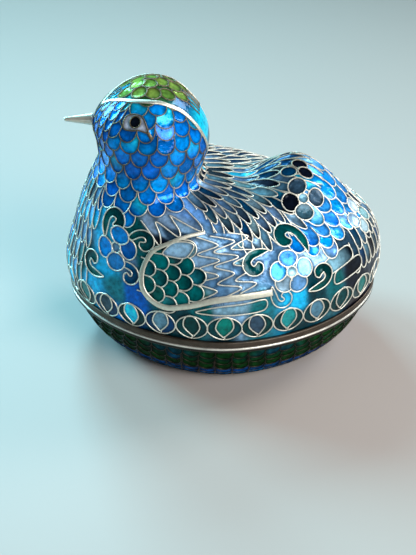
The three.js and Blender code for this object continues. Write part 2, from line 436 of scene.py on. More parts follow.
def inside(polygon: Array, points: Array) -> Array:
    """Which points lie inside a closed polygon, as booleans."""
    low, high = polygon.min(0), polygon.max(0)
    found = np.all((points >= low) & (points <= high), axis=1)
    near = points[found]
    if len(near) == 0:
        return found
    a, b = polygon, np.roll(polygon, -1, axis=0)
    x, y = near[:, 0:1], near[:, 1:2]
    spans = (a[:, 1] > y) != (b[:, 1] > y)
    run = b[:, 1] - a[:, 1]
    safe = np.where(np.abs(run) < 1e-12, 1e-12, run)
    cross_x = a[:, 0] + (y - a[:, 1]) * (b[:, 0] - a[:, 0]) / safe
    hits = np.sum(spans & (x < cross_x), axis=1) % 2 == 1
    result = np.zeros(len(points), bool)
    result[np.flatnonzero(found)[hits]] = True
    return result


@dataclass
class Fill:
    """The enamel of one cell, which may shade from a root to a tip.

    Args:
        place: a place inside the cell.
        tint: its enamel at the root.
        tip_tint: its enamel at the tip, or None where it does not shade.
        root: where the shading starts.
        tip: where it ends.
    """

    place: Place
    tint: Tint
    tip_tint: Tint | None = None
    root: Place = (0.0, 0.0)
    tip: Place = (0.0, 0.0)


@dataclass
class Wire:
    """One enamel wire along rows of (level, degrees)."""

    places: Array
    width: float | Array


@dataclass
class Drawing:
    """The wires and fills drawn on the half of a skin that faces the picture.

    What is drawn first lies on top: later wires stop at the outlines that are already there.

    Args:
        skin: the surface that carries the drawing.
        wire_width: width of the wires, in millimetres.
        spacing: distance between the points of a wire, in millimetres.
        sway: how unevenly the wires are bent by hand, as a share of their size.
        seed: start of that unevenness.
        overlap: how far past the middle plane a line is followed, in degrees.
        inset: how close to the middle plane a fill may lie, in degrees.
        wires: the wires drawn so far.
        fills: the fills laid so far.
        outlines: closed lines, in drawing coordinates, that cover what is drawn next.
    """

    skin: Skin
    wire_width: float = 0.34
    spacing: float = 0.3
    sway: float = 0.07
    seed: int = 5
    overlap: float = 0.5
    inset: float = 0.6
    wires: list[Wire] = field(default_factory=list)
    fills: list[Fill] = field(default_factory=list)
    outlines: list[Array] = field(default_factory=list)

    def __post_init__(self) -> None:
        """Starts the unevenness of the hand-bent wires."""
        self.hand = np.random.default_rng(self.seed)

    def covered(self, places: Array) -> Array:
        """Which places lie under something drawn earlier."""
        flat = self.skin.chart(places)
        level, degrees = places.T
        hidden = (degrees < FRONT - self.overlap) | (degrees > REAR + self.overlap) | (level < 0.0)
        for outline in self.outlines:
            hidden |= inside(outline, flat)
        return hidden

    def line(self, places: Array, width: float | None = None) -> None:
        """Draws one wire where nothing lies over it.

        Args:
            places: rows of (level, degrees).
            width: the wire's width, or None for the usual one.
        """
        places = places.copy()
        places[:, 0] = np.clip(places[:, 0], 0.0, self.skin.highest)
        shown = ~self.covered(places)
        grown = shown.copy()
        grown[1:] |= shown[:-1]
        grown[:-1] |= shown[1:]
        breaks = np.flatnonzero(np.diff(grown.astype(int))) + 1
        for run in np.split(np.arange(len(places)), breaks):
            if grown[run[0]] and len(run) > 2:
                part = places[run]
                part[:, 1] = np.clip(part[:, 1], FRONT, REAR)
                self.wires.append(Wire(part, width or self.wire_width))

    def claim(self, places: Array) -> None:
        """Makes the area inside a closed line cover whatever is drawn next."""
        self.outlines.append(self.skin.chart(places))

    def fill(self, place: Place, tint: Tint, tip_tint: Tint | None = None, root: Place = (0.0, 0.0),
             tip: Place = (0.0, 0.0)) -> None:
        """Colours the cell at a place, unless something drawn earlier lies there.

        Args:
            place: a place inside the cell, which is moved off the middle plane where it lies by it.
            tint: the enamel at the root.
            tip_tint: the enamel at the tip, or None where it does not shade.
            root: where the shading starts.
            tip: where it ends.
        """
        inward = min(max(place[1], FRONT + self.inset), REAR - self.inset)
        if abs(inward - place[1]) < 2 * self.overlap:
            place = (place[0], inward)
        if not self.covered(np.array([place]))[0]:
            self.fills.append(Fill(place, tint, tip_tint, root, tip))

    def shape(self, start: Place, offsets: Array, turn: float, tint: Tint, middle: Place = (0.0, 0.0),
              tip: Place | None = None, tip_tint: Tint | None = None) -> None:
        """Draws a closed motif of wire with its enamel, and claims its area.

        Args:
            start: where the motif's own origin lies.
            offsets: its closed outline in millimetres.
            turn: how far it is turned, in degrees.
            tint: its enamel.
            middle: an offset inside the outline.
            tip: an offset towards which the enamel shades.
            tip_tint: the enamel at that tip.
        """
        marks = np.array([middle, tip or middle])
        places = self.skin.walk(start, np.vstack([offsets, marks]), turn)
        outline, root, end = places[:-2], tuple(places[-2]), tuple(places[-1])
        self.line(outline)
        self.fill(root, tint, tip_tint, root, end)
        self.claim(outline)


def tint_number(row: int, column: int) -> int:
    """A number that picks different enamels for neighbouring tiles."""
    return row * 5 + column * 3


@dataclass(frozen=True)
class Tile:
    """One scale or feather, whose tip points down before it is turned.

    Args:
        width: its width in millimetres.
        tip: length of its rounded tip.
        stem: length of its straight sides.
        tints: enamels, of which each tile gets one in turn.
        tip_tints: the enamels at the tips.
        sharpness: 1 for round tips, more for pointed ones.
    """

    width: float
    tip: float
    stem: float
    tints: tuple[Tint, ...]
    tip_tints: tuple[Tint, ...] = ()
    sharpness: float = 1.0

    def offsets(self, drawing: Drawing) -> Array:
        """The open outline in millimetres, a little uneven, from the left side round to the right."""
        half, tip = (size * (1 + drawing.hand.uniform(-drawing.sway, drawing.sway))
                     for size in (self.width * 0.51, self.tip))
        arc = max(12, int((half + tip) * 2.2 / drawing.spacing))
        angle = np.linspace(0.0, math.pi, arc)
        bow = np.column_stack([-half * np.cos(angle), -tip * np.sin(angle) ** self.sharpness])
        steps = max(2, int(self.stem / drawing.spacing))
        rise = np.linspace(self.stem, 0.0, steps, endpoint=False)
        left = np.column_stack([np.full(steps, -half), rise])
        right = np.column_stack([np.full(steps, half), rise[::-1]])
        return np.vstack([left, bow, right])

    def draw(self, drawing: Drawing, place: Place, turn: float, number: int) -> None:
        """Draws one tile.

        Args:
            drawing: what it is drawn on.
            place: the middle of the line where its rounded tip starts.
            turn: how far it is turned, in degrees.
            number: picks its enamel.
        """
        offsets = self.offsets(drawing)
        marks = np.array([(0.0, self.stem * 0.5), (0.0, -self.tip * 0.85), (0.0, -self.tip * 0.5),
                          (0.0, self.stem * 0.35), (0.0, self.stem * 0.7)])
        turn += drawing.hand.uniform(-90.0, 90.0) * drawing.sway
        loose = drawing.hand.uniform(-0.5, 0.5, 2) * drawing.sway * self.width
        places = drawing.skin.walk(place, np.vstack([offsets, marks]) + loose, turn)
        outline, (root, end, *spots) = places[:-len(marks)], places[-len(marks):]
        drawing.line(outline)
        tint = self.tints[number % len(self.tints)]
        tips = self.tip_tints or self.tints
        for spot in spots:
            if not drawing.covered(spot[None, :])[0]:
                drawing.fill(tuple(spot), tint, tips[number % len(tips)], tuple(root), tuple(end))
                break
        drawing.claim(outline)


@dataclass(frozen=True)
class Zigzag:
    """A wire that runs back and forth across the wing and draws a row of open feather tips.

    Args:
        first: where it starts.
        last: where it ends.
        tips: number of feather tips between them.
        reach: how far the tips stand out towards the tail, in millimetres.
    """

    first: Place
    last: Place
    tips: int
    reach: float = 5.2

    def draw(self, drawing: Drawing) -> None:
        """Draws the wire."""
        skin = drawing.skin
        start, end = skin.point(np.array([self.first, self.last]))
        east, north = skin.frame(self.first)
        span = np.array([(end - start) @ east, (end - start) @ north])
        knots = []
        for number in range(self.tips + 1):
            loose = drawing.hand.uniform(-0.35, 0.35, 2)
            knots.append(tuple(span * number / self.tips + loose))
            if number < self.tips:
                out = np.array([self.reach * drawing.hand.uniform(0.8, 1.15), -0.4])
                middle = span * (number + 0.5) / self.tips + out
                knots.extend([tuple(middle + (-0.5, 0.45)), tuple(middle + (-0.3, -0.4))])
        drawing.line(skin.walk(self.first, smooth_line(knots, drawing.spacing), steps=12))


@dataclass
class TileRows:
    """Rows of tiles that hang towards lower levels, the higher rows on top.

    Args:
        tile: the scale or feather.
        levels: lowest and highest level of a row.
        pitch: distance between rows in millimetres.
        meridian: degrees of the line along which the pitch is measured.
        area: corners of the region as (degrees, level).
    """

    tile: Tile
    levels: Place
    pitch: float
    meridian: float
    area: Sequence[Place]

    def draw(self, drawing: Drawing) -> None:
        """Draws every tile whose middle lies in the region."""
        skin, region = drawing.skin, np.array(self.area, float)
        levels = np.linspace(*self.levels, 200)
        lengths = skin.climb(levels, self.meridian)
        for row, mark in enumerate(np.arange(lengths[-1], 0.0, -self.pitch)):
            level = float(np.interp(mark, lengths, levels))
            sweep, around = skin.level_line(level)
            count = max(2, round(around[-1] / self.tile.width))
            for column in range(count + 1):
                share = (column + 0.5 * (row % 2)) / count
                degrees = float(np.interp(share * around[-1], around, sweep))
                if share <= 1.0 and inside(region, np.array([[degrees, level]]))[0]:
                    self.tile.draw(drawing, (level, degrees), 0.0, tint_number(row, column))


@dataclass
class TileGrid:
    """Rows of tiles that point the way they are turned, the rows at the back on top.

    Args:
        tile: the scale or feather.
        place: where the middle of the grid lies.
        pitch: distance between rows in millimetres.
        turn: how far the grid is turned; 90 points its tiles towards the tail.
        reach: rows and columns on each side of the middle.
        area: corners of the region as (degrees, level).
    """

    tile: Tile
    place: Place
    pitch: float
    turn: float
    reach: tuple[int, int]
    area: Sequence[Place]

    def draw(self, drawing: Drawing) -> None:
        """Draws every tile whose middle lies in the region."""
        region = np.array(self.area, float)
        rows, columns = self.reach
        for row in range(rows, -rows - 1, -1):
            shift = 0.5 if row % 2 else 0.0
            spots = np.array([((column + shift) * self.tile.width, row * self.pitch)
                              for column in range(-columns, columns + 1)])
            for column, spot in enumerate(drawing.skin.walk(self.place, spots, self.turn, steps=10)):
                if inside(region, spot[None, ::-1])[0]:
                    self.tile.draw(drawing, tuple(spot), self.turn, abs(tint_number(row, column)))


CROOK: tuple[Place, ...] = (
    (-0.50, -0.80), (-0.64, -0.30), (-0.56, 0.18), (-0.28, 0.52), (0.12, 0.62), (0.48, 0.40),
    (0.58, 0.02), (0.42, -0.28), (0.12, -0.32), (-0.04, -0.14), (0.08, 0.02), (0.11, 0.14),
    (-0.06, 0.20), (-0.22, 0.04), (-0.30, -0.26), (-0.40, -0.62),
)


@dataclass
class Crook:
    """A curled leaf with a round head, drawn as one closed cell.

    Args:
        place: where its middle lies.
        size: its size in millimetres.
        turn: how far it is turned, in degrees.
        flipped: whether its head is at the left before it is turned.
        tint: its enamel.
        tip_tint: the enamel at its thin end.
    """

    place: Place
    size: float
    turn: float
    flipped: bool
    tint: Tint = Tint.DEEP_TEAL
    tip_tint: Tint = Tint.TEAL

    def draw(self, drawing: Drawing) -> None:
        """Draws the leaf."""
        side = -1.0 if self.flipped else 1.0
        scale = np.array([side * self.size, self.size])
        outline = smooth_line([tuple(scale * p) for p in CROOK], drawing.spacing, closed=True)
        head = (side * 0.33 * self.size, 0.12 * self.size)
        tail = (-side * 0.5 * self.size, -0.7 * self.size)
        drawing.shape(self.place, outline, self.turn, self.tint, head, tail, self.tip_tint)


@dataclass
class Flower:
    """A flower of round petals about a small round centre.

    Args:
        place: where its centre lies.
        petals: where the petals' middles lie.
        petal_size: each petal's size across and along its own ray, in millimetres.
        heart_radius: radius of the centre, in millimetres.
        tints: the petals' enamels, in turn.
        heart: the centre's enamel.
        tuck: how far each petal reaches under the centre, in millimetres.
    """

    place: Place
    petals: Sequence[Place]
    petal_size: Place
    heart_radius: float
    tints: Sequence[Tint]
    heart: Tint
    tuck: float = 0.15

    def draw(self, drawing: Drawing) -> None:
        """Draws the centre first and then each petal up to it."""
        skin = drawing.skin
        drawing.shape(self.place, oval_line(self.heart_radius, self.heart_radius, count=18), 0.0, self.heart)
        middle = skin.point(np.array([self.place]))[0]
        east, north = skin.frame(self.place)
        half_width, half_length = self.petal_size[0] / 2, self.petal_size[1] / 2
        for number, petal in enumerate(self.petals):
            away = skin.point(np.array([petal]))[0] - middle
            angle = math.atan2(float(away @ north), float(away @ east))
            reach = self.heart_radius + half_length - self.tuck
            centre = skin.walk(self.place, np.array([(math.cos(angle) * reach, math.sin(angle) * reach)]))[0]
            outline = oval_line(half_width, half_length, point_down=0.22)
            tint = self.tints[number % len(self.tints)]
            drawing.shape(tuple(centre), outline, math.degrees(angle) - 90.0, tint)


@dataclass
class BudBorder:
    """The row of buds along the lid's edge, each a small oval held by two crescents.

    Args:
        pitches: how many times a bud's width fits along one side of the bird.
        width: width of a bud with its crescents, in millimetres.
        height: its height in millimetres.
        level: level of the buds' middles.
        breast_end: degrees up to which the buds lie below the breast and are bluer.
    """

    pitches: int = 14
    width: float = 8.5
    height: float = 7.1
    level: float = 0.84
    breast_end: float = 250.0

    def draw(self, drawing: Drawing) -> None:
        """Draws the buds one after another along the edge."""
        sweep, around = drawing.skin.level_line(self.level)
        hearts = (Tint.STEEL, Tint.DEEP_TEAL, Tint.TEAL, Tint.SLATE, Tint.SEA)
        for number in range(self.pitches + 1):
            degrees = float(np.interp(number / self.pitches * around[-1], around, sweep))
            in_front = degrees < self.breast_end
            leaf = Tint.DEEP_BLUE if in_front and number % 2 else Tint.DEEP_TEAL
            heart = Tint.CYAN if in_front and number % 3 == 1 else hearts[number % len(hearts)]
            self._bud(drawing, (self.level, degrees), heart, leaf, 1.0 if number % 2 else -1.0)

    def _bud(self, drawing: Drawing, place: Place, heart: Tint, leaf: Tint, lean: float) -> None:
        """Draws one bud.

        Args:
            drawing: what it is drawn on.
            place: its middle.
            heart: enamel of the oval.
            leaf: enamel of the two crescents.
            lean: 1 where the oval leans to one side, -1 where it leans to the other.
        """
        inner = oval_line(self.width * 0.26, self.height * 0.46, point_down=0.95) + np.array([0.0, 0.2])
        inner[:, 0] += lean * 0.10 * inner[:, 1]
        drawing.shape(place, inner, 0.0, heart)
        for side in (-1.0, 1.0):
            spot = drawing.skin.walk(place, np.array([(side * self.width * 0.38, -0.2)]))[0]
            drawing.fill(tuple(spot), leaf)
        outer = oval_line(self.width / 2, self.height / 2, point_down=0.15, count=40) - np.array([0.0, 0.25])
        places = drawing.skin.walk(place, outer)
        stalk = np.array([(0.0, -2.6), (0.0, -3.0), (0.0, -3.4), (0.0, -3.8)])
        drawing.line(drawing.skin.walk(place, stalk))
        drawing.line(places)
        drawing.claim(places)


@dataclass
class Band:
    """A flat brass band laid along the skin, which the enamel meets on both sides.

    Args:
        path: places on its middle line.
        width: its greatest width in millimetres.
        taper: its width at the first place, in the middle and at the last place, as shares of that.
        lap: how far it covers the enamel at each edge, in millimetres.
    """

    path: Sequence[Place]
    width: float
    taper: tuple[float, float, float]
    lap: float = 0.15

    def places(self) -> Array:
        """The band's middle line as rows of (level, degrees)."""
        return smooth_places(self.path, 20.0, 0.03)

    def widths(self) -> Array:
        """Its width at each of its places."""
        return self.width * np.interp(np.linspace(0.0, 1.0, len(self.places())), (0.0, 0.45, 1.0), self.taper)

    def edges(self, skin: Skin) -> tuple[Array, Array]:
        """Lines just inside the band's two edges, as rows of (level, degrees)."""
        places = self.places()
        sideways = np.cross(skin.normal(places), np.gradient(skin.point(places), axis=0))
        sideways *= ((self.widths() / 2 - self.lap) / np.linalg.norm(sideways, axis=1))[:, None]
        shift = along_skin(*skin.slopes(places), sideways)
        return places + shift, places - shift


WING_BAND = Band(
    ((4.98, 285.0), (4.91, 274.3), (4.67, 262.9), (4.22, 250.6), (3.36, 242.4), (2.51, 240.0),
     (1.92, 242.5), (1.64, 247.8), (1.76, 255.3), (2.03, 267.0), (2.07, 279.1), (2.04, 289.3)),
    1.8,
    (0.5, 0.72, 1.0),
)
CROWN_BAND = Band(
    ((11.2, 180.0), (11.61, 193.1), (11.95, 217.0), (12.09, 247.1), (12.09, 274.6),
     (11.95, 298.2), (11.45, 319.9), (10.79, 329.2), (9.83, 335.6), (8.7, 345.0), (8.1, 360.0)),
    1.2,
    (0.7, 1.0, 0.6),
)


@dataclass
class CellMesh:
    """Enamel cells cut out of a skin by its wires.

    Args:
        drawing: the wires and fills.
        border: closed outline of the drawn half, as rows of (level, degrees).
        grain: distance between the points that carry the enamel's own form, in millimetres.
        washes: the enamel of the cells that have no fill of their own.
        seed: start of the random tones.
        edge_depth: how deep the enamel lies at a wire, in millimetres.
        hollow_depth: how deep it lies in the middle of a cell.
        meniscus: distance from a wire within which it rises.
        largest: area in square millimetres from which a cell counts as ground.
        clearance: how close to a wire the loose points may lie, as a share of the grain.
        plane_gap: within how many degrees of the middle plane a point lies on it.
    """

    drawing: Drawing
    border: Array
    grain: float
    washes: dict[Tint, Sequence[Place]]
    seed: int
    edge_depth: float = 0.13
    hollow_depth: float = 0.34
    meniscus: float = 0.75
    largest: float = 42.0
    clearance: float = 0.45
    plane_gap: float = 0.02

    def _wire_tree(self) -> KDTree:
        """A search tree of every wire point, in millimetres."""
        points = np.vstack([self.drawing.skin.point(wire.places) for wire in self.drawing.wires])
        tree = KDTree(len(points))
        for index, point in enumerate(points):
            tree.insert(point, index)
        tree.balance()
        return tree

    def _grain_places(self) -> Array:
        """Places spread evenly over the half skin, a little off its border."""
        skin = self.drawing.skin
        total = abs(skin.reach[0] - skin.reach[-1])
        rows = int(total / self.grain)
        order = np.argsort(skin.reach)
        parts = []
        for row in range(1, rows):
            level = float(np.interp(row * total / rows, skin.reach[order], skin.levels[order]))
            sweep, lengths = skin.level_line(level)
            count = max(2, int(lengths[-1] / self.grain))
            shift = 0.5 if row % 2 else 0.0
            marks = (np.arange(count) + 0.25 + shift) / (count + 0.75) * lengths[-1]
            degrees = np.interp(marks, lengths, sweep)
            parts.append(np.column_stack([np.full_like(degrees, level), degrees]))
        return np.vstack(parts)

    def piece(self, name: str, finish: bpy.types.Material, heights: Place = (0.0, 1000.0)) -> bpy.types.Object:
        """The enamel of both sides as one mesh with its colours.

        Args:
            name: the piece's name.
            finish: its material.
            heights: lowest and highest z of its points, in millimetres.

        Returns:
            The new object.
        """
        points, tris, colours, distance, middle = self.build()
        points[:, 2] = np.clip(points[:, 2], *heights)
        both, all_tris = mirrored(points, tris, middle)
        piece = make_mesh(name, both, all_tris, finish)
        flipped = colours.reshape(-1, 3, 3)[:, ::-1].reshape(-1, 3)
        paint(piece, np.vstack([colours, flipped]), np.concatenate([distance, distance[~middle]]))
        return piece

    def build(self) -> tuple[Array, Array, Array, Array, Array]:
        """Cuts the half skin into cells.

        Returns:
            Points, triangles, a colour for each triangle corner, the distance of each point
            from its nearest wire, and which points lie on the middle plane.
        """
        skin = self.drawing.skin
        tree = self._wire_tree()
        loose = self._grain_places()
        clear = np.array([tree.find(p)[2] > self.grain * self.clearance for p in skin.point(loose)])
        chunks = [self.border]
        edges: list[tuple[int, int]] = []
        count = len(self.border)
        edges.extend((i, (i + 1) % count) for i in range(count))
        base = count
        for wire in self.drawing.wires:
            chunks.append(wire.places)
            edges.extend((base + i, base + i + 1) for i in range(len(wire.places) - 1))
            base += len(wire.places)
        chunks.append(np.array([fill.place for fill in self.drawing.fills]))
        first_fill = base
        chunks.append(loose[clear])
        flat = skin.chart(np.vstack(chunks))
        verts, out_edges, faces, orig_verts, orig_edges, _ = delaunay_2d_cdt(
            [Vector(p) for p in flat], edges, [], 0, 1e-4)
        flat = np.array([tuple(v) for v in verts])
        tris = self._kept_triangles(flat, faces)
        walls = {tuple(sorted(e)) for e, source in zip(out_edges, orig_edges) if source}
        cell = self._flood(tris, walls)
        places = skin.unchart(flat)
        a, b, c = (skin.point(places)[tris[:, i]] for i in range(3))
        area = np.bincount(cell, np.linalg.norm(np.cross(b - a, c - a), axis=1) / 2)
        found = self._fill_cells(tris, cell, orig_verts, first_fill)
        owner = {number: fill for number, fill in found.items() if area[number] < self.largest}
        depth, closeness = self._depths(places, tree)
        points = skin.point(places) + skin.normal(places) * depth[:, None]
        middle = np.abs(np.minimum(places[:, 1] - FRONT, REAR - places[:, 1])) < self.plane_gap
        points[middle, 1] = 0.0
        colours = self._colours(tris, cell, owner, flat)
        return points, tris, colours, closeness, middle

    def _kept_triangles(self, flat: Array, faces: Sequence[Sequence[int]]) -> Array:
        """Triangles inside the border, all turned the same way."""
        tris = np.array([f for f in faces if len(f) == 3])
        a, b, c = (flat[tris[:, i]] for i in range(3))
        area = (b[:, 0] - a[:, 0]) * (c[:, 1] - a[:, 1]) - (b[:, 1] - a[:, 1]) * (c[:, 0] - a[:, 0])
        tris[area < 0] = tris[area < 0][:, ::-1]
        tris = tris[np.abs(area) > 1e-9]
        middles = flat[tris].mean(axis=1)
        edge = self.drawing.skin.chart(self.border)
        return tris[inside(edge, middles)]

    def _flood(self, tris: Array, walls: set[tuple[int, int]]) -> Array:
        """Number of the cell that each triangle belongs to."""
        neighbours: dict[tuple[int, int], list[int]] = {}
        for index, (a, b, c) in enumerate(tris.tolist()):
            for edge in ((a, b), (b, c), (c, a)):
                key = edge if edge[0] < edge[1] else (edge[1], edge[0])
                neighbours.setdefault(key, []).append(index)
        links: list[list[int]] = [[] for _ in range(len(tris))]
        for key, pair in neighbours.items():
            if len(pair) == 2 and key not in walls:
                links[pair[0]].append(pair[1])
                links[pair[1]].append(pair[0])
        cell = np.full(len(tris), -1)
        number = 0
        for start in range(len(tris)):
            if cell[start] >= 0:
                continue
            stack = [start]
            cell[start] = number
            while stack:
                for other in links[stack.pop()]:
                    if cell[other] < 0:
                        cell[other] = number
                        stack.append(other)
            number += 1
        return cell

    def _fill_cells(self, tris: Array, cell: Array, orig_verts: Sequence[Sequence[int]],
                    first_fill: int) -> dict[int, Fill]:
        """Which fill each cell has."""
        count = len(self.drawing.fills)
        vertex_of: dict[int, int] = {}
        for vertex, sources in enumerate(orig_verts):
            for source in sources:
                if first_fill <= source < first_fill + count:
                    vertex_of[source - first_fill] = vertex
        face_of: dict[int, int] = {}
        wanted = set(vertex_of.values())
        for index, tri in enumerate(tris.tolist()):
            for vertex in tri:
                if vertex in wanted:
                    face_of[vertex] = index
        owner: dict[int, Fill] = {}
        for number, fill in enumerate(self.drawing.fills):
            face = face_of.get(vertex_of.get(number, -1))
            if face is not None:
                owner.setdefault(int(cell[face]), fill)
        return owner

    def _depths(self, places: Array, tree: KDTree) -> tuple[Array, Array]:
        """Height of the enamel against the skin, and its distance from the nearest wire."""
        points = self.drawing.skin.point(places)
        distance = np.array([tree.find(p)[2] for p in points])
        u = np.clip(distance / self.meniscus, 0.0, 1.0)
        eased = u * u * (3 - 2 * u)
        return -(self.edge_depth + (self.hollow_depth - self.edge_depth) * eased), distance

    def _ground(self, flat: Array) -> Array:
        """The ground enamel at flat coordinates, blended from the nearest washes."""
        marks = [(place, tint.value) for tint, places in self.washes.items() for place in places]
        spots = self.drawing.skin.chart(np.array([place for place, _ in marks]))
        tints = np.array([colour for _, colour in marks])
        gap = np.sum((flat[:, None, :] - spots[None, :, :]) ** 2, axis=2)
        softness = 0.5
        weight = 1.0 / (gap + softness) ** 3
        return weight @ tints / weight.sum(axis=1)[:, None]

    def _colours(self, tris: Array, cell: Array, owner: dict[int, Fill], flat: Array) -> Array:
        """A colour for each corner of each triangle."""
        rng = np.random.default_rng(self.seed)
        total = int(cell.max()) + 1
        near, far = np.zeros((total, 3)), np.zeros((total, 3))
        origin, axis = np.zeros((total, 2)), np.zeros((total, 2))
        owned = np.zeros(total, bool)
        tone = 1.0 + rng.uniform(-0.25, 0.25, (total, 1))
        drift = 1.0 + rng.uniform(-0.10, 0.10, (total, 3))
        chart = self.drawing.skin.chart
        for number, fill in owner.items():
            owned[number] = True
            near[number], far[number] = fill.tint.value, (fill.tip_tint or fill.tint).value
            origin[number], end = chart(np.array([fill.root, fill.tip]))
            away = end - origin[number]
            axis[number] = away / max(float(away @ away), 0.05)
        corners = flat[tris]
        along = np.einsum("tij,tj->ti", corners - origin[cell][:, None, :], axis[cell])
        u = np.clip((along + 0.1) / 1.1, 0.0, 1.0)[:, :, None]
        mixed = near[cell][:, None, :] * (1 - u) + far[cell][:, None, :] * u
        mixed = np.where(owned[cell][:, None, None], mixed, self._ground(flat)[tris])
        return (mixed * (tone * drift)[cell][:, None, :]).reshape(-1, 3)


def mirrored(points: Array, tris: Array, middle: Array) -> tuple[Array, Array]:
    """A half surface with its mirror image across the middle plane.

    Args:
        points: points of the half with y below zero.
        tris: its triangles.
        middle: which points lie on the middle plane and are shared.

    Returns:
        The points and triangles of both halves.
    """
    twin = np.arange(len(points))
    other = np.flatnonzero(~middle)
    twin[other] = len(points) + np.arange(len(other))
    flipped = points[other] * np.array([1.0, -1.0, 1.0])
    return np.vstack([points, flipped]), np.vstack([tris, twin[tris][:, ::-1]])


def across(points: Array, faces: Sequence) -> tuple[Array, list]:
    """The mirror image of points and faces across the middle plane."""
    return points * np.array([1.0, -1.0, 1.0]), [tuple(reversed(face)) for face in faces]


def make_mesh(name: str, points: Array, faces: Sequence, material: bpy.types.Material) -> bpy.types.Object:
    """A smoothly shaded mesh object from points in millimetres.

    Args:
        name: the piece's name.
        points: rows of x, y and z in millimetres.
        faces: corner numbers of each face.
        material: its finish.

    Returns:
        The new object, in the scene.
    """
    mesh = bpy.data.meshes.new(name)
    corners = faces.tolist() if isinstance(faces, np.ndarray) else faces
    mesh.from_pydata((points * MM).tolist(), [], corners)
    mesh.update()
    mesh.polygons.foreach_set("use_smooth", [True] * len(mesh.polygons))
    mesh.materials.append(material)
    piece = bpy.data.objects.new(name, mesh)
    bpy.context.scene.collection.objects.link(piece)
    return piece


def dress(piece: bpy.types.Object, slot: str, *nodes: str) -> bpy.types.Object:
    """Fixes a piece to the box.

    Args:
        piece: the piece.
        slot: the record's material slot for the piece; not used.
        nodes: solids that it stands for.

    Returns:
        The same piece.
    """
    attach(piece, BODY)
    if nodes:
        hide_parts(*nodes)
    LOG.info("%s: %d faces", piece.name, len(piece.data.polygons))
    return piece


def dress_pair(name: str, points: Array, faces: list, finish: bpy.types.Material, solid: bool = False) -> None:
    """Makes and dresses brass wire of the near side, and its mirror image.

    Args:
        name: the pieces' name, before the side.
        points: points of the near side, in millimetres.
        faces: its faces.
        finish: its material.
        solid: whether each piece stands for the solid of the same name.
    """
    for side, mesh in (("left", (points, faces)), ("right", across(points, faces))):
        own_name = f"{name}_{side}"
        dress(make_mesh(own_name, *mesh, finish), "brass_wire", *([own_name] if solid else []))


def ring_faces(rings: int, count: int, wrapped: bool = False) -> list[tuple[int, int, int, int]]:
    """Faces that join rings of points with the same count, turned outwards for upward rings."""
    faces = []
    for ring in range(rings if wrapped else rings - 1):
        above = (ring + 1) % rings
        for i in range(count):
            j = (i + 1) % count
            faces.append((ring * count + i, ring * count + j, above * count + j, above * count + i))
    return faces


def wire_mesh(skin: Skin, wires: Iterable[Wire], top: float, foot: float) -> tuple[Array, list]:
    """Wires as ribbons that stand on edge in the skin, with softly rounded tops.

    Args:
        skin: the surface that they follow.
        wires: the wires.
        top: height of their tops against the skin, in millimetres.
        foot: height of their feet.

    Returns:
        Points and faces.
    """
    chunks, faces, base = [], [], 0
    # Shares of the wire's width to one side, with heights.
    profile = ((-0.5, foot), (-0.5, top - 0.09), (-0.36, top - 0.02), (0.0, top),
               (0.36, top - 0.02), (0.5, top - 0.09), (0.5, foot))
    rim = len(profile)
    for wire in wires:
        points = skin.point(wire.places)
        out = skin.normal(wire.places)
        ahead = np.gradient(points, axis=0)
        sideways = np.cross(out, ahead)
        length = np.linalg.norm(sideways, axis=1)
        sideways /= np.maximum(length, 1e-9)[:, None]
        width = np.broadcast_to(wire.width, len(points))[:, None]
        rows = [points + sideways * width * aside + out * rise for aside, rise in profile]
        block = np.stack(rows, axis=1).reshape(-1, 3)
        chunks.append(block)
        count = len(points)
        for i in range(count - 1):
            for k in range(rim - 1):
                a = base + i * rim + k
                faces.append((a, a + rim, a + rim + 1, a + 1))
        faces.append(tuple(base + k for k in range(rim)))
        faces.append(tuple(base + (count - 1) * rim + k for k in reversed(range(rim))))
        base += count * rim
    return np.vstack(chunks), faces


def new_nodes(tree: bpy.types.NodeTree, *kinds: str) -> list[bpy.types.Node]:
    """New shader nodes of several kinds, named without the words that all kinds start with."""
    return [tree.nodes.new("ShaderNode" + kind) for kind in kinds]


def set_inputs(node: bpy.types.Node, values: dict[str, float | tuple[float, ...]]) -> None:
    """Sets several inputs of a node."""
    for name, value in values.items():
        node.inputs[name].default_value = value


def new_material(name: str) -> tuple[bpy.types.Material, bpy.types.NodeTree, bpy.types.Node]:
    """A new material, its nodes and its shader."""
    material = bpy.data.materials.new(name)
    material.use_nodes = True
    return material, material.node_tree, material.node_tree.nodes["Principled BSDF"]


def cloud_group() -> bpy.types.NodeTree:
    """Cloudy variation of depth, as in thick glass, which all the finishes share.

    Returns:
        A group with inputs Scale, Low and High and the output Value.
    """
    tree = bpy.data.node_groups.new("enamel_cloud", "ShaderNodeTree")
    for name, value in (("Scale", 900.0), ("Low", 0.7), ("High", 1.2)):
        socket = tree.interface.new_socket(name, in_out="INPUT", socket_type="NodeSocketFloat")
        socket.default_value = value
    tree.interface.new_socket("Value", in_out="OUTPUT", socket_type="NodeSocketFloat")
    source, result = tree.nodes.new("NodeGroupInput"), tree.nodes.new("NodeGroupOutput")
    place, noise, spread = new_nodes(tree, "TexCoord", "TexNoise", "MapRange")
    set_inputs(noise, {"Detail": 3.0, "Roughness": 0.55})
    set_inputs(spread, {"From Min": 0.3, "From Max": 0.7})
    link = tree.links.new
    link(place.outputs["Object"], noise.inputs["Vector"])
    link(source.outputs["Scale"], noise.inputs["Scale"])
    link(noise.outputs["Fac"], spread.inputs["Value"])
    link(source.outputs["Low"], spread.inputs["To Min"])
    link(source.outputs["High"], spread.inputs["To Max"])
    link(spread.outputs["Result"], result.inputs["Value"])
    return tree


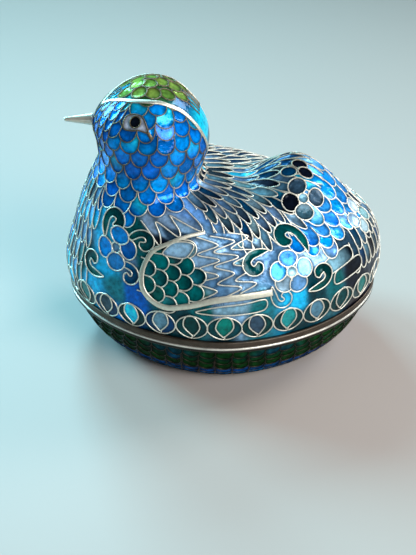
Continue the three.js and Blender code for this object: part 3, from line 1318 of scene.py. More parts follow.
def cloud_value(tree: bpy.types.NodeTree, cloud: bpy.types.NodeTree, scale: float,
                span: Place) -> bpy.types.NodeSocket:
    """The output of the cloud group where a material uses it.

    Args:
        tree: the material's nodes.
        cloud: the shared group of cloudy variation.
        scale: size of the clouds, per metre.
        span: lowest and highest value.

    Returns:
        The output that carries the value.
    """
    node, = new_nodes(tree, "Group")
    node.node_tree = cloud
    set_inputs(node, {"Scale": scale, "Low": span[0], "High": span[1]})
    return node.outputs["Value"]


def add_ripple(tree: bpy.types.NodeTree, scale: float, height: float,
               normals: Sequence[bpy.types.NodeSocket]) -> None:
    """Gives a surface a faint ripple.

    Args:
        tree: the material's nodes.
        scale: size of the ripples, per metre.
        height: their height in metres.
        normals: the shader's inputs that carry them.
    """
    place, noise, bump = new_nodes(tree, "TexCoord", "TexNoise", "Bump")
    set_inputs(noise, {"Scale": scale, "Detail": 2.0})
    set_inputs(bump, {"Strength": 0.25, "Distance": height})
    tree.links.new(place.outputs["Object"], noise.inputs["Vector"])
    tree.links.new(noise.outputs["Fac"], bump.inputs["Height"])
    for socket in normals:
        tree.links.new(bump.outputs["Normal"], socket)


@dataclass(frozen=True)
class EnamelFinish:
    """Glossy enamel over a bright metal ground.

    Args:
        name: the material's name.
        attribute: colour attribute that holds each cell's enamel, or an empty text for one colour.
        colour: the colour where there is no attribute.
        metallic: how much of the metal ground shines through.
        roughness: roughness under the gloss.
        mottle: size of the cloudy spots, per metre.
        depth: how dark and how light the cloudy spots are.
        gloss: weight of the glossy top coat.
    """

    name: str
    attribute: str
    colour: tuple[float, float, float] = (0.0, 0.0, 0.0)
    metallic: float = 0.35
    roughness: float = 0.28
    mottle: float = 700.0
    depth: Place = (0.6, 1.4)
    gloss: float = 0.45

    def build(self, cloud: bpy.types.NodeTree) -> bpy.types.Material:
        """Makes the material.

        Args:
            cloud: the shared group of cloudy variation.

        Returns:
            The new material.
        """
        material, tree, shader = new_material(self.name)
        set_inputs(shader, {
            "Metallic": self.metallic, "Roughness": self.roughness, "Specular IOR Level": 0.0,
            "Coat Weight": self.gloss, "Coat Roughness": 0.06, "Coat IOR": 1.42,
        })
        tinted, = new_nodes(tree, "VectorMath")
        tinted.operation = "MULTIPLY"
        colour = tinted.outputs["Vector"]
        if self.attribute:
            cell, = new_nodes(tree, "Attribute")
            cell.attribute_name = self.attribute
            tree.links.new(cell.outputs["Color"], tinted.inputs[0])
            # Darkens the enamel along the foot of each wire: soot, and painted shade beside the wire.
            colour = self._soot_and_wire_shade(tree, colour)
        else:
            tinted.inputs[0].default_value = self.colour
        tree.links.new(colour, shader.inputs["Base Color"])
        tree.links.new(cloud_value(tree, cloud, self.mottle, self.depth), tinted.inputs[1])
        add_ripple(tree, 700.0, 0.0003, (shader.inputs["Normal"], shader.inputs["Coat Normal"]))
        return material

    def _soot_and_wire_shade(self, tree: bpy.types.NodeTree, colour: bpy.types.NodeSocket) -> bpy.types.NodeSocket:
        """The enamel's colour, darkened along the foot of each wire: soot there, and painted shade in the join
        between wire and enamel.
        """
        near, ramp, shaded = new_nodes(tree, "Attribute", "MapRange", "VectorMath")
        near.attribute_name = "from_wire"
        set_inputs(ramp, {"From Min": 0.15, "From Max": 0.8, "To Min": 0.42, "To Max": 1.0})
        shaded.operation = "MULTIPLY"
        tree.links.new(near.outputs["Fac"], ramp.inputs["Value"])
        tree.links.new(colour, shaded.inputs[0])
        tree.links.new(ramp.outputs["Result"], shaded.inputs[1])
        return shaded.outputs["Vector"]


@dataclass(frozen=True)
class BrassFinish:
    """Brass with a handled, slightly tarnished surface, and on some pieces painted light and shade by height.

    Args:
        name: the material's name.
        bright: colour where it is rubbed bright, and where painted light falls.
        dull: colour where it has tarnished, and where painted shade falls.
        roughness: lowest and highest roughness.
        patch: size of the tarnish patches, per metre.
        painted_light_heights: heights in metres where it is all dull, as painted shade, and where it is lit, as
            painted light, if they differ.
        metallic: how much it reflects like bare metal.
    """

    name: str
    bright: tuple[float, float, float]
    dull: tuple[float, float, float]
    roughness: Place
    patch: float
    painted_light_heights: Place | None = None
    metallic: float = 1.0

    def build(self, cloud: bpy.types.NodeTree) -> bpy.types.Material:
        """Makes the material.

        Args:
            cloud: the shared group of cloudy variation.

        Returns:
            The new material.
        """
        material, tree, shader = new_material(self.name)
        set_inputs(shader, {"Metallic": self.metallic})
        blend, = new_nodes(tree, "Mix")
        blend.data_type = "RGBA"
        set_inputs(blend, {"A": (*self.dull, 1.0), "B": (*self.bright, 1.0)})
        rubbed = cloud_value(tree, cloud, self.patch, (0.65, 1.0))
        tree.links.new(self._rubbed_and_painted_light(tree, rubbed), blend.inputs["Factor"])
        tree.links.new(blend.outputs["Result"], shader.inputs["Base Color"])
        gloss = cloud_value(tree, cloud, self.patch * 3.0, self.roughness)
        tree.links.new(gloss, shader.inputs["Roughness"])
        add_ripple(tree, 2500.0, 0.0001, (shader.inputs["Normal"],))
        return material

    def _rubbed_and_painted_light(self, tree: bpy.types.NodeTree, rubbed: bpy.types.NodeSocket) -> bpy.types.NodeSocket:
        """How bright the metal is at each spot: how much it is rubbed there, times painted light and shade by height.
        """
        if self.painted_light_heights is None:
            return rubbed
        # Multiplies the rubbing by painted light and shade that change with height.
        place, axes, ramp, lit = new_nodes(tree, "TexCoord", "SeparateXYZ", "MapRange", "Math")
        set_inputs(ramp, {"From Min": self.painted_light_heights[0], "From Max": self.painted_light_heights[1]})
        lit.operation = "MULTIPLY"
        tree.links.new(place.outputs["Object"], axes.inputs["Vector"])
        tree.links.new(axes.outputs["Z"], ramp.inputs["Value"])
        tree.links.new(rubbed, lit.inputs[0])
        tree.links.new(ramp.outputs["Result"], lit.inputs[1])
        return lit.outputs["Value"]


@dataclass
class Finishes:
    """Every finish of the box."""

    enamel: bpy.types.Material
    bowl: bpy.types.Material
    lining: bpy.types.Material
    wire: bpy.types.Material
    bowl_wire: bpy.types.Material
    band: bpy.types.Material
    edge: bpy.types.Material
    lid_edge: bpy.types.Material
    beak: bpy.types.Material

    @classmethod
    def make(cls) -> "Finishes":
        """Builds all the materials."""
        cloud = cloud_group()
        looks = {
            "enamel": EnamelFinish("cell_enamel", "enamel"),
            # The bowl's low tone span darkens all of its enamel: painted shade.
            "bowl": EnamelFinish("bowl_cell_enamel", "enamel", metallic=0.0, depth=(0.12, 0.7), gloss=0.12),
            "lining": EnamelFinish("lining_enamel", "", colour=(0.004, 0.08, 0.28), metallic=0.1,
                                   roughness=0.35, mottle=260.0),
            # The lid's wires are bright below 46 mm and dull above 58 mm, on the head: painted light and shade by
            # height.
            "wire": BrassFinish("wire_brass", (1.0, 0.97, 0.86), (0.17, 0.14, 0.09), (0.36, 0.55), 900.0,
                                painted_light_heights=(0.058, 0.046), metallic=0.8),
            # The bowl's wires are near black: painted shade.
            "bowl_wire": BrassFinish("bowl_wire_brass", (0.04, 0.036, 0.025), (0.012, 0.011, 0.009),
                                     (0.35, 0.55), 900.0),
            "band": BrassFinish("band_brass", (0.98, 0.95, 0.82), (0.50, 0.46, 0.35), (0.38, 0.58), 900.0),
            # The bowl's rim is near black below 15.4 mm and bright on its top edge above 15.7 mm: painted shade with
            # a painted highlight.
            "edge": BrassFinish("rim_brass", (1.0, 0.97, 0.88), (0.02, 0.018, 0.015), (0.3, 0.45), 300.0,
                                painted_light_heights=(0.0154, 0.0157), metallic=0.7),
            # The lid's rim is dark brown: partly tarnish, partly a painted reflection of dark brown surroundings.
            "lid_edge": BrassFinish("lid_edge_brass", (0.12, 0.095, 0.075), (0.03, 0.025, 0.022),
                                    (0.4, 0.62), 450.0),
            "beak": BrassFinish("beak_brass", (0.85, 0.82, 0.70), (0.40, 0.37, 0.29), (0.35, 0.5), 700.0,
                                metallic=0.75),
        }
        return cls(**{part: look.build(cloud) for part, look in looks.items()})


# Where the ground between the motifs has each enamel. The cyan at (4.9, 345.0), on the hump's near side, is a painted
# glint, and the pale steel at (5.3, 262.0) and (5.3, 275.0), at the neck's base, is pale enamel and partly painted
# glare.
LID_GROUND: dict[Tint, Sequence[Place]] = {
    Tint.DEEP_BLUE: ((0.4, 185.0), (4.6, 330.0), (11.6, 345.0)),
    Tint.TEAL: ((1.4, 190.0), (1.6, 262.0), (1.9, 314.0), (4.6, 240.0), (5.3, 243.0), (3.0, 208.0),
        (5.6, 250.0), (3.2, 244.5), (2.3, 244.5), (4.0, 251.0)),
    # The cyan at (4.9, 345.0) is a painted glint.
    Tint.CYAN: ((1.6, 215.0), (1.4, 298.0), (3.2, 225.0), (5.0, 228.0), (6.0, 215.0), (8.0, 200.0),
        (4.9, 345.0), (12.0, 190.0), (11.2, 356.0), (10.4, 352.0), (7.6, 350.0)),
    Tint.SEA: ((2.0, 227.0), (1.4, 284.0), (12.3, 200.0)),
    Tint.COBALT: ((1.9, 237.0), (9.5, 250.0), (10.0, 300.0)),
    Tint.AZURE: ((0.5, 225.0), (4.0, 350.0)),
    Tint.DEEP_TEAL: ((0.5, 245.0), (1.4, 252.0), (0.5, 270.0), (0.5, 300.0), (1.6, 306.0)),
    # The pale steel at (5.3, 275.0) and (5.3, 262.0) is partly painted glare.
    Tint.PALE_STEEL: ((1.62, 269.0), (1.62, 276.0), (2.6, 312.0), (5.3, 275.0), (5.3, 262.0), (3.4, 270.0),
        (4.3, 280.0), (2.4, 279.0), (3.8, 276.0)),
    Tint.INK: ((0.5, 330.0), (1.8, 324.0), (0.6, 355.0), (4.66, 260.0), (2.2, 340.0)),
    Tint.PALE_SKY: ((3.0, 320.0), (5.9, 300.0)),
    Tint.STEEL: ((3.6, 235.0), (4.0, 205.0), (4.4, 300.0), (3.2, 290.0), (2.6, 270.0), (3.1, 281.0),
        (4.4, 290.0), (6.2, 340.0)),
    Tint.SLATE: ((5.02, 266.5), (5.10, 273.5), (9.0, 356.0)),
    Tint.SKY: ((3.4, 340.0), (3.1, 355.0)),
    Tint.DEEP_LIME: ((12.4, 270.0), (12.6, 330.0)),
}

# Heights against the skin, in millimetres.
WIRE_TOP, BAND_TOP, WIRE_FOOT = -0.02, 0.1, -0.5


@dataclass
class Lid:
    """The bird: its enamelled skin, its wires and bands, and its plain lining.

    Args:
        finishes: the materials.
        wall: thickness of the shell, in millimetres.
        body_wire: width of most wires, in millimetres.
        fine_wire: width of the wires on the head, neck and breast.
        lip: how far inside the skin the lining's lower edge starts.
        skin: the surface that everything follows.
    """

    finishes: Finishes
    wall: float = 1.6
    body_wire: float = 0.34
    fine_wire: float = 0.26
    lip: float = 0.12
    skin: LidSkin = field(default_factory=LidSkin)

    def build(self) -> None:
        """Makes and dresses every piece of the lid."""
        drawing = Drawing(self.skin)
        for part in (self._draw_bands, self._draw_eye, self._draw_crown, self._draw_flowers, BudBorder().draw,
                     self._draw_wing, self._draw_bib, self._draw_neck, self._draw_tail, self._draw_breast,
                     self._draw_back):
            fine = part in (self._draw_bib, self._draw_breast)
            drawing.wire_width = self.fine_wire if fine else self.body_wire
            part(drawing)
        LOG.info("lid drawing: %d wires, %d fills", len(drawing.wires), len(drawing.fills))
        self._enamel(drawing)
        self._wires(drawing)
        self._lining()
        self._bands()

    def _draw_bands(self, drawing: Drawing) -> None:
        """Claims the ground under the brass bands."""
        for band in (WING_BAND, CROWN_BAND):
            edges = band.edges(self.skin)
            for edge in edges:
                drawing.line(edge)
            drawing.claim(np.vstack([edges[0], edges[1][::-1]]))

    def _draw_eye(self, drawing: Drawing) -> None:
        """A pale almond with a dark pupil and a short brass tail behind it."""
        place = (11.24, 256.2)
        drawing.shape(place, oval_line(1.45, 1.5) + np.array([-0.1, 0.3]), 0.0, Tint.INK, (-0.1, 0.3))
        almond = smooth_line([(-3.3, 0.0), (-2.7, 1.7), (-0.9, 2.3), (1.6, 1.7), (3.3, -1.1), (3.5, -2.2),
                              (1.4, -1.8), (-0.9, -2.0), (-2.8, -1.7)], drawing.spacing, closed=True)
        drawing.shape(place, almond, 0.0, Tint.MILK, (-2.1, -0.2))
        tail = np.array([(3.2, -1.7), (3.7, -2.3), (4.2, -3.0), (4.7, -3.8)])
        drawing.line(self.skin.walk(place, tail), 0.85)

    def _draw_crown(self, drawing: Drawing) -> None:
        """Lime scales in two arcs inside the crown band, pointing at the nape."""
        spots = ((-22.2, -1.4), (-19.0, -2.0), (-16.2, -0.6), (-12.9, -0.4),
                 (-25.2, -2.9), (-21.6, -5.0), (-18.0, -5.7), (-14.4, -4.9), (-11.2, -2.6))
        for number, spot in enumerate(spots):
            places = self.skin.from_above(oval_line(2.05, 1.85, count=30) + np.array(spot))
            drawing.line(places)
            marks = self.skin.from_above(np.array([spot, (spot[0] + 1.9, spot[1])]))
            near, far = (tuple(mark) for mark in marks)
            drawing.fill(near, Tint.LEAF if number % 3 == 1 else Tint.LIME, Tint.LEAF, near, far)
            drawing.claim(places)
        for rank, y in enumerate((-0.6, -2.2, -3.9)):
            forehead = smooth_line([(-33.0 + rank * 0.7, y), (-30.0, y * 1.1), (-26.4, y * 0.9)], drawing.spacing)
            nape = smooth_line([(-10.6, y), (-8.4, y * 0.9), (-6.2, y * 0.8)], drawing.spacing)
            for plan in (forehead, nape):
                drawing.line(self.skin.from_above(plan))
        drawing.claim(np.array([*CROWN_BAND.path, (8.1, 372.0), (12.98, 372.0), (12.98, 168.0), (11.2, 168.0)]))

    def _draw_flowers(self, drawing: Drawing) -> None:
        """The flowers on the breast, the flank, the hump and the tail, with their curled leaves."""
        flowers = (
            Flower((4.12, 230.8), ((4.71, 234.8), (4.20, 239.4), (3.39, 229.1), (3.97, 223.0)), (5.9, 5.0), 1.45,
                   (Tint.AZURE, Tint.COBALT, Tint.SKY, Tint.AZURE), Tint.STEEL),
            Flower((2.60, 298.5), ((3.20, 301.3), (2.60, 305.0), (2.10, 299.5), (2.82, 292.0), (2.10, 292.4)),
                   (5.2, 4.6), 1.45, (Tint.SKY, Tint.PALE_SKY, Tint.PALE_SKY, Tint.SKY, Tint.PALE_STEEL),
                   Tint.PALE_STEEL),
            Flower((4.28, 336.0), ((4.52, 341.0), (3.95, 340.0), (4.08, 329.4), (4.68, 331.0)), (5.2, 4.7), 1.4,
                   (Tint.SLATE, Tint.SLATE, Tint.SLATE, Tint.INK), Tint.STEEL),
            Flower((2.98, 347.0), ((3.22, 351.5), (3.02, 341.0), (2.72, 344.0), (2.75, 354.5)), (4.4, 4.6), 1.0,
                   (Tint.MILK, Tint.PALE_STEEL), Tint.SKY),
        )
        crooks = (
            Crook((5.40, 233.6), 6.1, 4.0, False),
            Crook((4.68, 248.4), 5.2, -50.0, False),
            Crook((2.90, 215.2), 5.6, 90.0, False),
            Crook((2.92, 234.9), 4.9, -90.0, False, Tint.DEEP_BLUE, Tint.AZURE),
            Crook((3.84, 311.8), 6.8, -8.0, True),
            Crook((3.30, 288.6), 5.5, 90.0, True),
            Crook((2.06, 308.9), 5.6, -90.0, True),
            Crook((1.75, 292.4), 4.6, 180.0, True),
        )
        for motif in (*flowers, *crooks):
            motif.draw(drawing)
        for place, tint, turn in (((4.78, 348.0), Tint.DEEP_BLUE, 100.0), ((4.40, 348.3), Tint.INK, 80.0),
                                  ((4.56, 352.5), Tint.INK, 80.0)):
            drawing.shape(place, oval_line(2.2, 1.5), turn, tint)

    def _draw_wing(self, drawing: Drawing) -> None:
        """Rounded coverts and streaming flight feathers inside the wing band."""
        pale = smooth_line([(-4.4, -1.0), (-1.6, 1.6), (2.0, 1.8), (3.8, 0.6), (1.6, -2.2), (-1.6, -2.0)],
                           drawing.spacing, closed=True)
        drawing.shape((4.36, 264.6), pale, 0.0, Tint.PALE_STEEL)
        band = [(degrees, level) for level, degrees in WING_BAND.path]
        front = [*band[2:10], (259.5, 2.2), (262.0, 2.9), (267.0, 3.6), (271.0, 4.2)]
        covert = Tile(4.4, 2.4, 2.4, (Tint.TEAL, Tint.TEAL, Tint.SEA, Tint.DEEP_TEAL), (Tint.DEEP_TEAL, Tint.TEAL))
        TileGrid(covert, (3.25, 254.0), 3.3, 82.0, (5, 4), front).draw(drawing)
        for top, foot in ((277.0, 261.5), (284.5, 270.0), (294.0, 277.5)):
            Zigzag((4.78, top), (2.08, foot), 4).draw(drawing)
        whole = [*band, (292.0, 2.3), (287.0, 2.9), (283.5, 3.5), (289.0, 4.1), (297.0, 4.6)]
        drawing.claim(np.array([(level, degrees) for degrees, level in whole]))
        lens = smooth_line([(-8.5, 0.2), (-3.0, 1.3), (4.0, 1.4), (9.5, 1.6), (9.0, -1.2), (3.0, -1.5), (-4.0, -0.9)],
                           drawing.spacing, closed=True)
        drawing.shape((1.60, 272.5), lens, 2.0, Tint.PALE_STEEL, (0.0, 0.0), (-8.0, 0.0), Tint.PALE_SKY)

    def _draw_bib(self, drawing: Drawing) -> None:
        """The blue scales of the head and neck."""
        beak_side = [(170.0, 9.3), (222.0, 9.6), (228.0, 10.6), (224.0, 12.2), (170.0, 12.2)]
        lens = Tile(2.8, 2.4, 2.6, (Tint.COBALT, Tint.AZURE), (Tint.COBALT,), 1.25)
        TileRows(lens, (9.2, 12.2), 3.0, 215.0, beak_side).draw(drawing)
        area = [(170.0, 7.2), (212.0, 7.0), (224.0, 6.5), (236.0, 6.3), (244.0, 5.75), (250.0, 5.6), (262.0, 6.0),
                (280.0, 6.15), (292.0, 6.3), (304.0, 6.6), (316.0, 7.1), (330.0, 7.5), (372.0, 7.7), (372.0, 12.6),
                (170.0, 12.6)]
        blues = (Tint.COBALT, Tint.AZURE, Tint.COBALT, Tint.COBALT, Tint.CYAN, Tint.COBALT, Tint.AZURE)
        scale = Tile(4.8, 3.15, 2.0, blues, (Tint.COBALT, Tint.COBALT, Tint.AZURE), 0.9)
        TileRows(scale, (5.3, 12.3), 3.3, 262.0, area).draw(drawing)

    def _draw_neck(self, drawing: Drawing) -> None:
        """The long open points between the bib and the wing band."""
        zigzag = [(5.75, 257.0), (4.55, 256.5), (5.55, 265.0), (5.62, 268.0), (4.92, 270.2), (5.75, 279.5),
                  (5.9, 282.0), (5.04, 284.0), (5.9, 295.5), (6.2, 297.0)]
        drawing.line(smooth_places(zigzag, 10.0, 0.05))
        # Pale steel fills that turn to ink at their feet: pale enamel, partly painted glare on the neck's base.
        for degrees, level, dark in ((256.0, 5.1, 4.55), (261.0, 5.1, 4.6), (268.5, 5.35, 4.7), (274.5, 5.3, 4.75),
                                     (283.0, 5.5, 4.8), (289.5, 5.5, 4.9)):
            drawing.fill((level, degrees), Tint.PALE_STEEL, Tint.INK, (dark + 0.35, degrees), (dark, degrees))
        drawing.claim(np.array([(4.8, 285.0), (4.5, 262.0), (4.9, 251.0), (6.2, 252.0), (6.5, 280.0), (6.8, 300.0),
                                (5.9, 303.0), (5.2, 293.0)]))

    def _draw_tail(self, drawing: Drawing) -> None:
        """The blue scales at the tail's root and the long feathers of the tail."""
        blue = Tile(4.6, 3.0, 2.0, (Tint.SKY, Tint.AZURE, Tint.SKY, Tint.PALE_SKY),
                    (Tint.AZURE, Tint.COBALT, Tint.SKY))
        root = [(305.0, 3.05), (316.0, 2.75), (330.0, 2.95), (338.0, 3.2), (352.0, 3.3), (364.0, 3.5), (364.0, 4.2),
                (340.0, 3.95), (328.0, 3.9), (316.0, 3.75), (308.0, 3.5)]
        TileRows(blue, (2.7, 4.15), 3.4, 330.0, root).draw(drawing)
        big = smooth_line([(-5.4, -1.8), (-4.8, 1.5), (0.0, 2.1), (4.4, 1.9), (5.4, 0.0), (4.4, -1.9), (0.0, -2.2)],
                          drawing.spacing, closed=True)
        for place, turn, tint in (((2.30, 318.5), 6.0, Tint.PALE_STEEL), ((1.80, 322.0), 4.0, Tint.INK)):
            drawing.shape(place, big, turn, tint, (-1.0, 0.0), (4.6, 0.0), Tint.INK)
        feather = Tile(2.7, 3.0, 6.5, (Tint.DEEP_BLUE, Tint.SLATE, Tint.INK, Tint.STEEL),
                       (Tint.INK, Tint.INK, Tint.SLATE), 0.9)
        tail = [(322.0, 1.3), (368.0, 1.3), (368.0, 3.4), (338.0, 3.0), (326.0, 2.4)]
        TileRows(feather, (1.5, 3.2), 6.0, 340.0, tail).draw(drawing)

    def _draw_breast(self, drawing: Drawing) -> None:
        """The long feathers of the breast."""
        breast = Tile(2.6, 4.2, 3.4, (Tint.AZURE, Tint.CYAN, Tint.PALE_SKY, Tint.AZURE, Tint.SLATE),
                      (Tint.DEEP_BLUE, Tint.CYAN, Tint.SLATE), 1.3)
        front = [(172.0, 1.7), (211.0, 1.7), (209.0, 3.4), (214.0, 4.4), (224.0, 5.6), (228.0, 7.6), (172.0, 8.4)]
        TileRows(breast, (1.6, 8.0), 6.2, 200.0, front).draw(drawing)

    def _draw_back(self, drawing: Drawing) -> None:
        """The feathers of the back."""
        plume = Tile(2.6, 4.8, 4.4, (Tint.STEEL, Tint.SLATE, Tint.PALE_STEEL, Tint.STEEL, Tint.DEEP_BLUE),
                     (Tint.INK, Tint.SLATE, Tint.INK), 1.3)
        back = [(293.0, 6.4), (288.0, 5.2), (292.0, 4.2), (300.0, 3.7), (318.0, 3.8), (334.0, 4.0), (366.0, 4.2),
                (366.0, 7.8), (314.0, 7.4)]
        TileRows(plume, (3.7, 7.6), 6.0, 325.0, back).draw(drawing)

    def _half_border(self) -> Array:
        """Outline of the half that faces the picture, along the edge and the middle plane."""
        rim = np.linspace(FRONT, REAR, 260)
        edge = np.column_stack([np.zeros_like(rim), rim])
        climb = np.linspace(0.0, self.skin.top_level, 240)
        back = np.column_stack([climb[1:], np.full(len(climb) - 1, REAR)])
        front = np.column_stack([climb[::-1][1:-1], np.full(len(climb) - 2, FRONT)])
        return np.vstack([edge, back, front])

    def _enamel(self, drawing: Drawing) -> None:
        """The enamel cells of both sides."""
        cells = CellMesh(drawing, self._half_border(), 0.62, LID_GROUND, seed=11)
        dress(cells.piece("lid_enamel", self.finishes.enamel), "lid_enamel", "lid")

    def _wires(self, drawing: Drawing) -> None:
        """The enamel wires, one piece for each side of the bird."""
        dress_pair("lid_wires", *wire_mesh(self.skin, drawing.wires, WIRE_TOP, WIRE_FOOT), self.finishes.wire)

    def _lining(self) -> None:
        """The plain inside of the shell and its level lower edge."""
        around, rise, opening = 180, 90, 0.08
        degrees = np.linspace(0.0, 360.0, around, endpoint=False)
        rings = []
        for number, level in enumerate(np.linspace(0.0, self.skin.top_level - opening, rise)):
            places = np.column_stack([np.full_like(degrees, level), degrees])
            inward = -self.skin.normal(places)
            if number == 0:
                inward[:, 2] = 0.0
                inward /= np.linalg.norm(inward, axis=1)[:, None]
                rings.append(self.skin.point(places) + inward * self.lip)
            rings.append(self.skin.point(places) + inward * self.wall)
        faces = [tuple(reversed(face)) for face in ring_faces(len(rings), around)]
        faces.append(tuple(reversed([(len(rings) - 1) * around + i for i in range(around)])))
        dress(make_mesh("lid_lining", np.vstack(rings), faces, self.finishes.lining), "lid_enamel")

    def _bands(self) -> None:
        """The brass bands of the wings and the crown."""
        for band in (WING_BAND, CROWN_BAND):
            points, faces = wire_mesh(self.skin, [Wire(band.places(), band.widths())], BAND_TOP, WIRE_FOOT)
            if band is WING_BAND:
                dress_pair("wing_band", points, faces, self.finishes.band, solid=True)
                continue
            other, back = across(points, faces)
            back = [tuple(i + len(points) for i in face) for face in back]
            whole = make_mesh("crown_band", np.vstack([points, other]), faces + back, self.finishes.band)
            dress(whole, "brass_wire", "crown_band")


def paint(piece: bpy.types.Object, colours: Array, distance: Array) -> None:
    """Stores each corner's enamel and each point's distance from its nearest wire.

    Args:
        piece: the enamel's mesh.
        colours: a colour for each face corner.
        distance: millimetres for each point.
    """
    mesh = piece.data
    layer = mesh.color_attributes.new(name="enamel", type="FLOAT_COLOR", domain="CORNER")
    rgba = np.column_stack([colours, np.ones(len(colours))]).astype(np.float32)
    layer.data.foreach_set("color", rgba.ravel())
    near = mesh.attributes.new(name="from_wire", type="FLOAT", domain="POINT")
    near.data.foreach_set("value", distance.astype(np.float32))


@dataclass
class Bowl:
    """The tub below the lid: scales on the outside and a plain lining.

    Args:
        finishes: the materials.
        wall: thickness of the shell, in millimetres.
        lip: how far inside the skin the lining's upper edge starts.
        skin: the surface that everything follows.
    """

    finishes: Finishes
    wall: float = 1.6
    lip: float = 0.12
    skin: BowlSkin = field(default_factory=BowlSkin)

    def build(self) -> None:
        """Makes and dresses every piece of the bowl."""
        drawing = Drawing(self.skin, wire_width=0.2)
        whole = [(170.0, -1.0), (370.0, -1.0), (370.0, 6.0), (170.0, 6.0)]
        for levels, tints in (((3.6, 4.75), (Tint.GREEN, Tint.GREEN, Tint.DEEP_TEAL)),
                              ((0.2, 3.5), (Tint.COBALT, Tint.AZURE, Tint.DEEP_BLUE))):
            tile = Tile(4.5, 2.3, 2.6, tints, tints[::-1])
            TileRows(tile, levels, 2.7, FLANK, whole).draw(drawing)
        washes = {tint: [(level, degrees) for degrees in np.linspace(FRONT, REAR, 5)]
                  for level, tint in ((4.6, Tint.GREEN), (2.0, Tint.COBALT))}
        enamel = CellMesh(drawing, self._half_border(), 0.7, washes, seed=23)
        piece = enamel.piece("bowl_enamel", self.finishes.bowl, (0.0, BOWL_LEVELS[-1].z))
        dress(piece, "bowl_enamel", "bowl")
        self._wires(drawing)
        self._lining()

    def _half_border(self) -> Array:
        """Outline of the drawn half."""
        sweep = np.linspace(FRONT, REAR, 240)
        lower = np.column_stack([np.zeros_like(sweep), sweep])
        climb = np.linspace(0.0, self.skin.top_level, 40)[1:]
        back = np.column_stack([climb, np.full_like(climb, REAR)])
        upper = np.column_stack([np.full_like(sweep, self.skin.top_level), sweep[::-1]])[1:]
        front = np.column_stack([climb[::-1][1:], np.full(len(climb) - 1, FRONT)])
        return np.vstack([lower, back, upper, front])

    def _wires(self, drawing: Drawing) -> None:
        """The enamel wires, one piece for each side."""
        above_floor = 0.02
        points, faces = wire_mesh(self.skin, drawing.wires, WIRE_TOP, WIRE_FOOT)
        points[:, 2] = np.clip(points[:, 2], above_floor, BOWL_LEVELS[-1].z)
        dress_pair("bowl_wires", points, faces, self.finishes.bowl_wire)

    def _lining(self) -> None:
        """The inside, the level upper edge and the flat underside, as one closed surface."""
        around = 180
        degrees = np.linspace(0.0, 360.0, around, endpoint=False)
        rings = []

        def oval(z: float, half_length: float, half_width: float) -> Array:
            """A level ring of points."""
            ones = np.ones_like(degrees)
            x, y = superellipse(half_length * ones, half_width * ones, self.skin.fullness * ones, np.radians(degrees))
            return np.column_stack([x, y, np.full_like(x, z)])

        foot, brim = BOWL_LEVELS[0], BOWL_LEVELS[-1]
        for share in (0.02, 0.5, 0.9, 1.0):
            rings.append(oval(0.0, foot.half_length * share, foot.half_width * share))
        outer = len(rings)
        inner = []
        for level in np.linspace(self.skin.top_level, 0.0, 40):
            z, half_length, half_width = self._profile(level)
            height = brim.z if level == self.skin.top_level else self.wall + z * (1 - self.wall / brim.z)
            inner.append(oval(height, half_length - self.wall, half_width - self.wall))
        edge = oval(brim.z, brim.half_length - self.lip, brim.half_width - self.lip)
        floor = [oval(self.wall, (foot.half_length - self.wall) * share, (foot.half_width - self.wall) * share)
                 for share in (0.9, 0.5, 0.02)]
        upper = [edge, *inner, *floor]
        points = np.vstack([*rings, *upper])
        faces = ring_faces(outer, around)
        shift = outer * around
        faces += [tuple(i + shift for i in face) for face in ring_faces(len(upper), around)]
        last = shift + (len(upper) - 1) * around
        faces.append(tuple(reversed(range(around))))
        faces.append(tuple(last + i for i in range(around)))
        dress(make_mesh("bowl_lining", points, faces, self.finishes.lining), "bowl_enamel")

    def _profile(self, level: float) -> Array:
        """Height and half sizes of the bowl's skin at a level."""
        side = self.skin.point(np.array([[level, 0.0], [level, 90.0]]))
        return np.array([side[0, 2], side[0, 0], side[1, 1]])


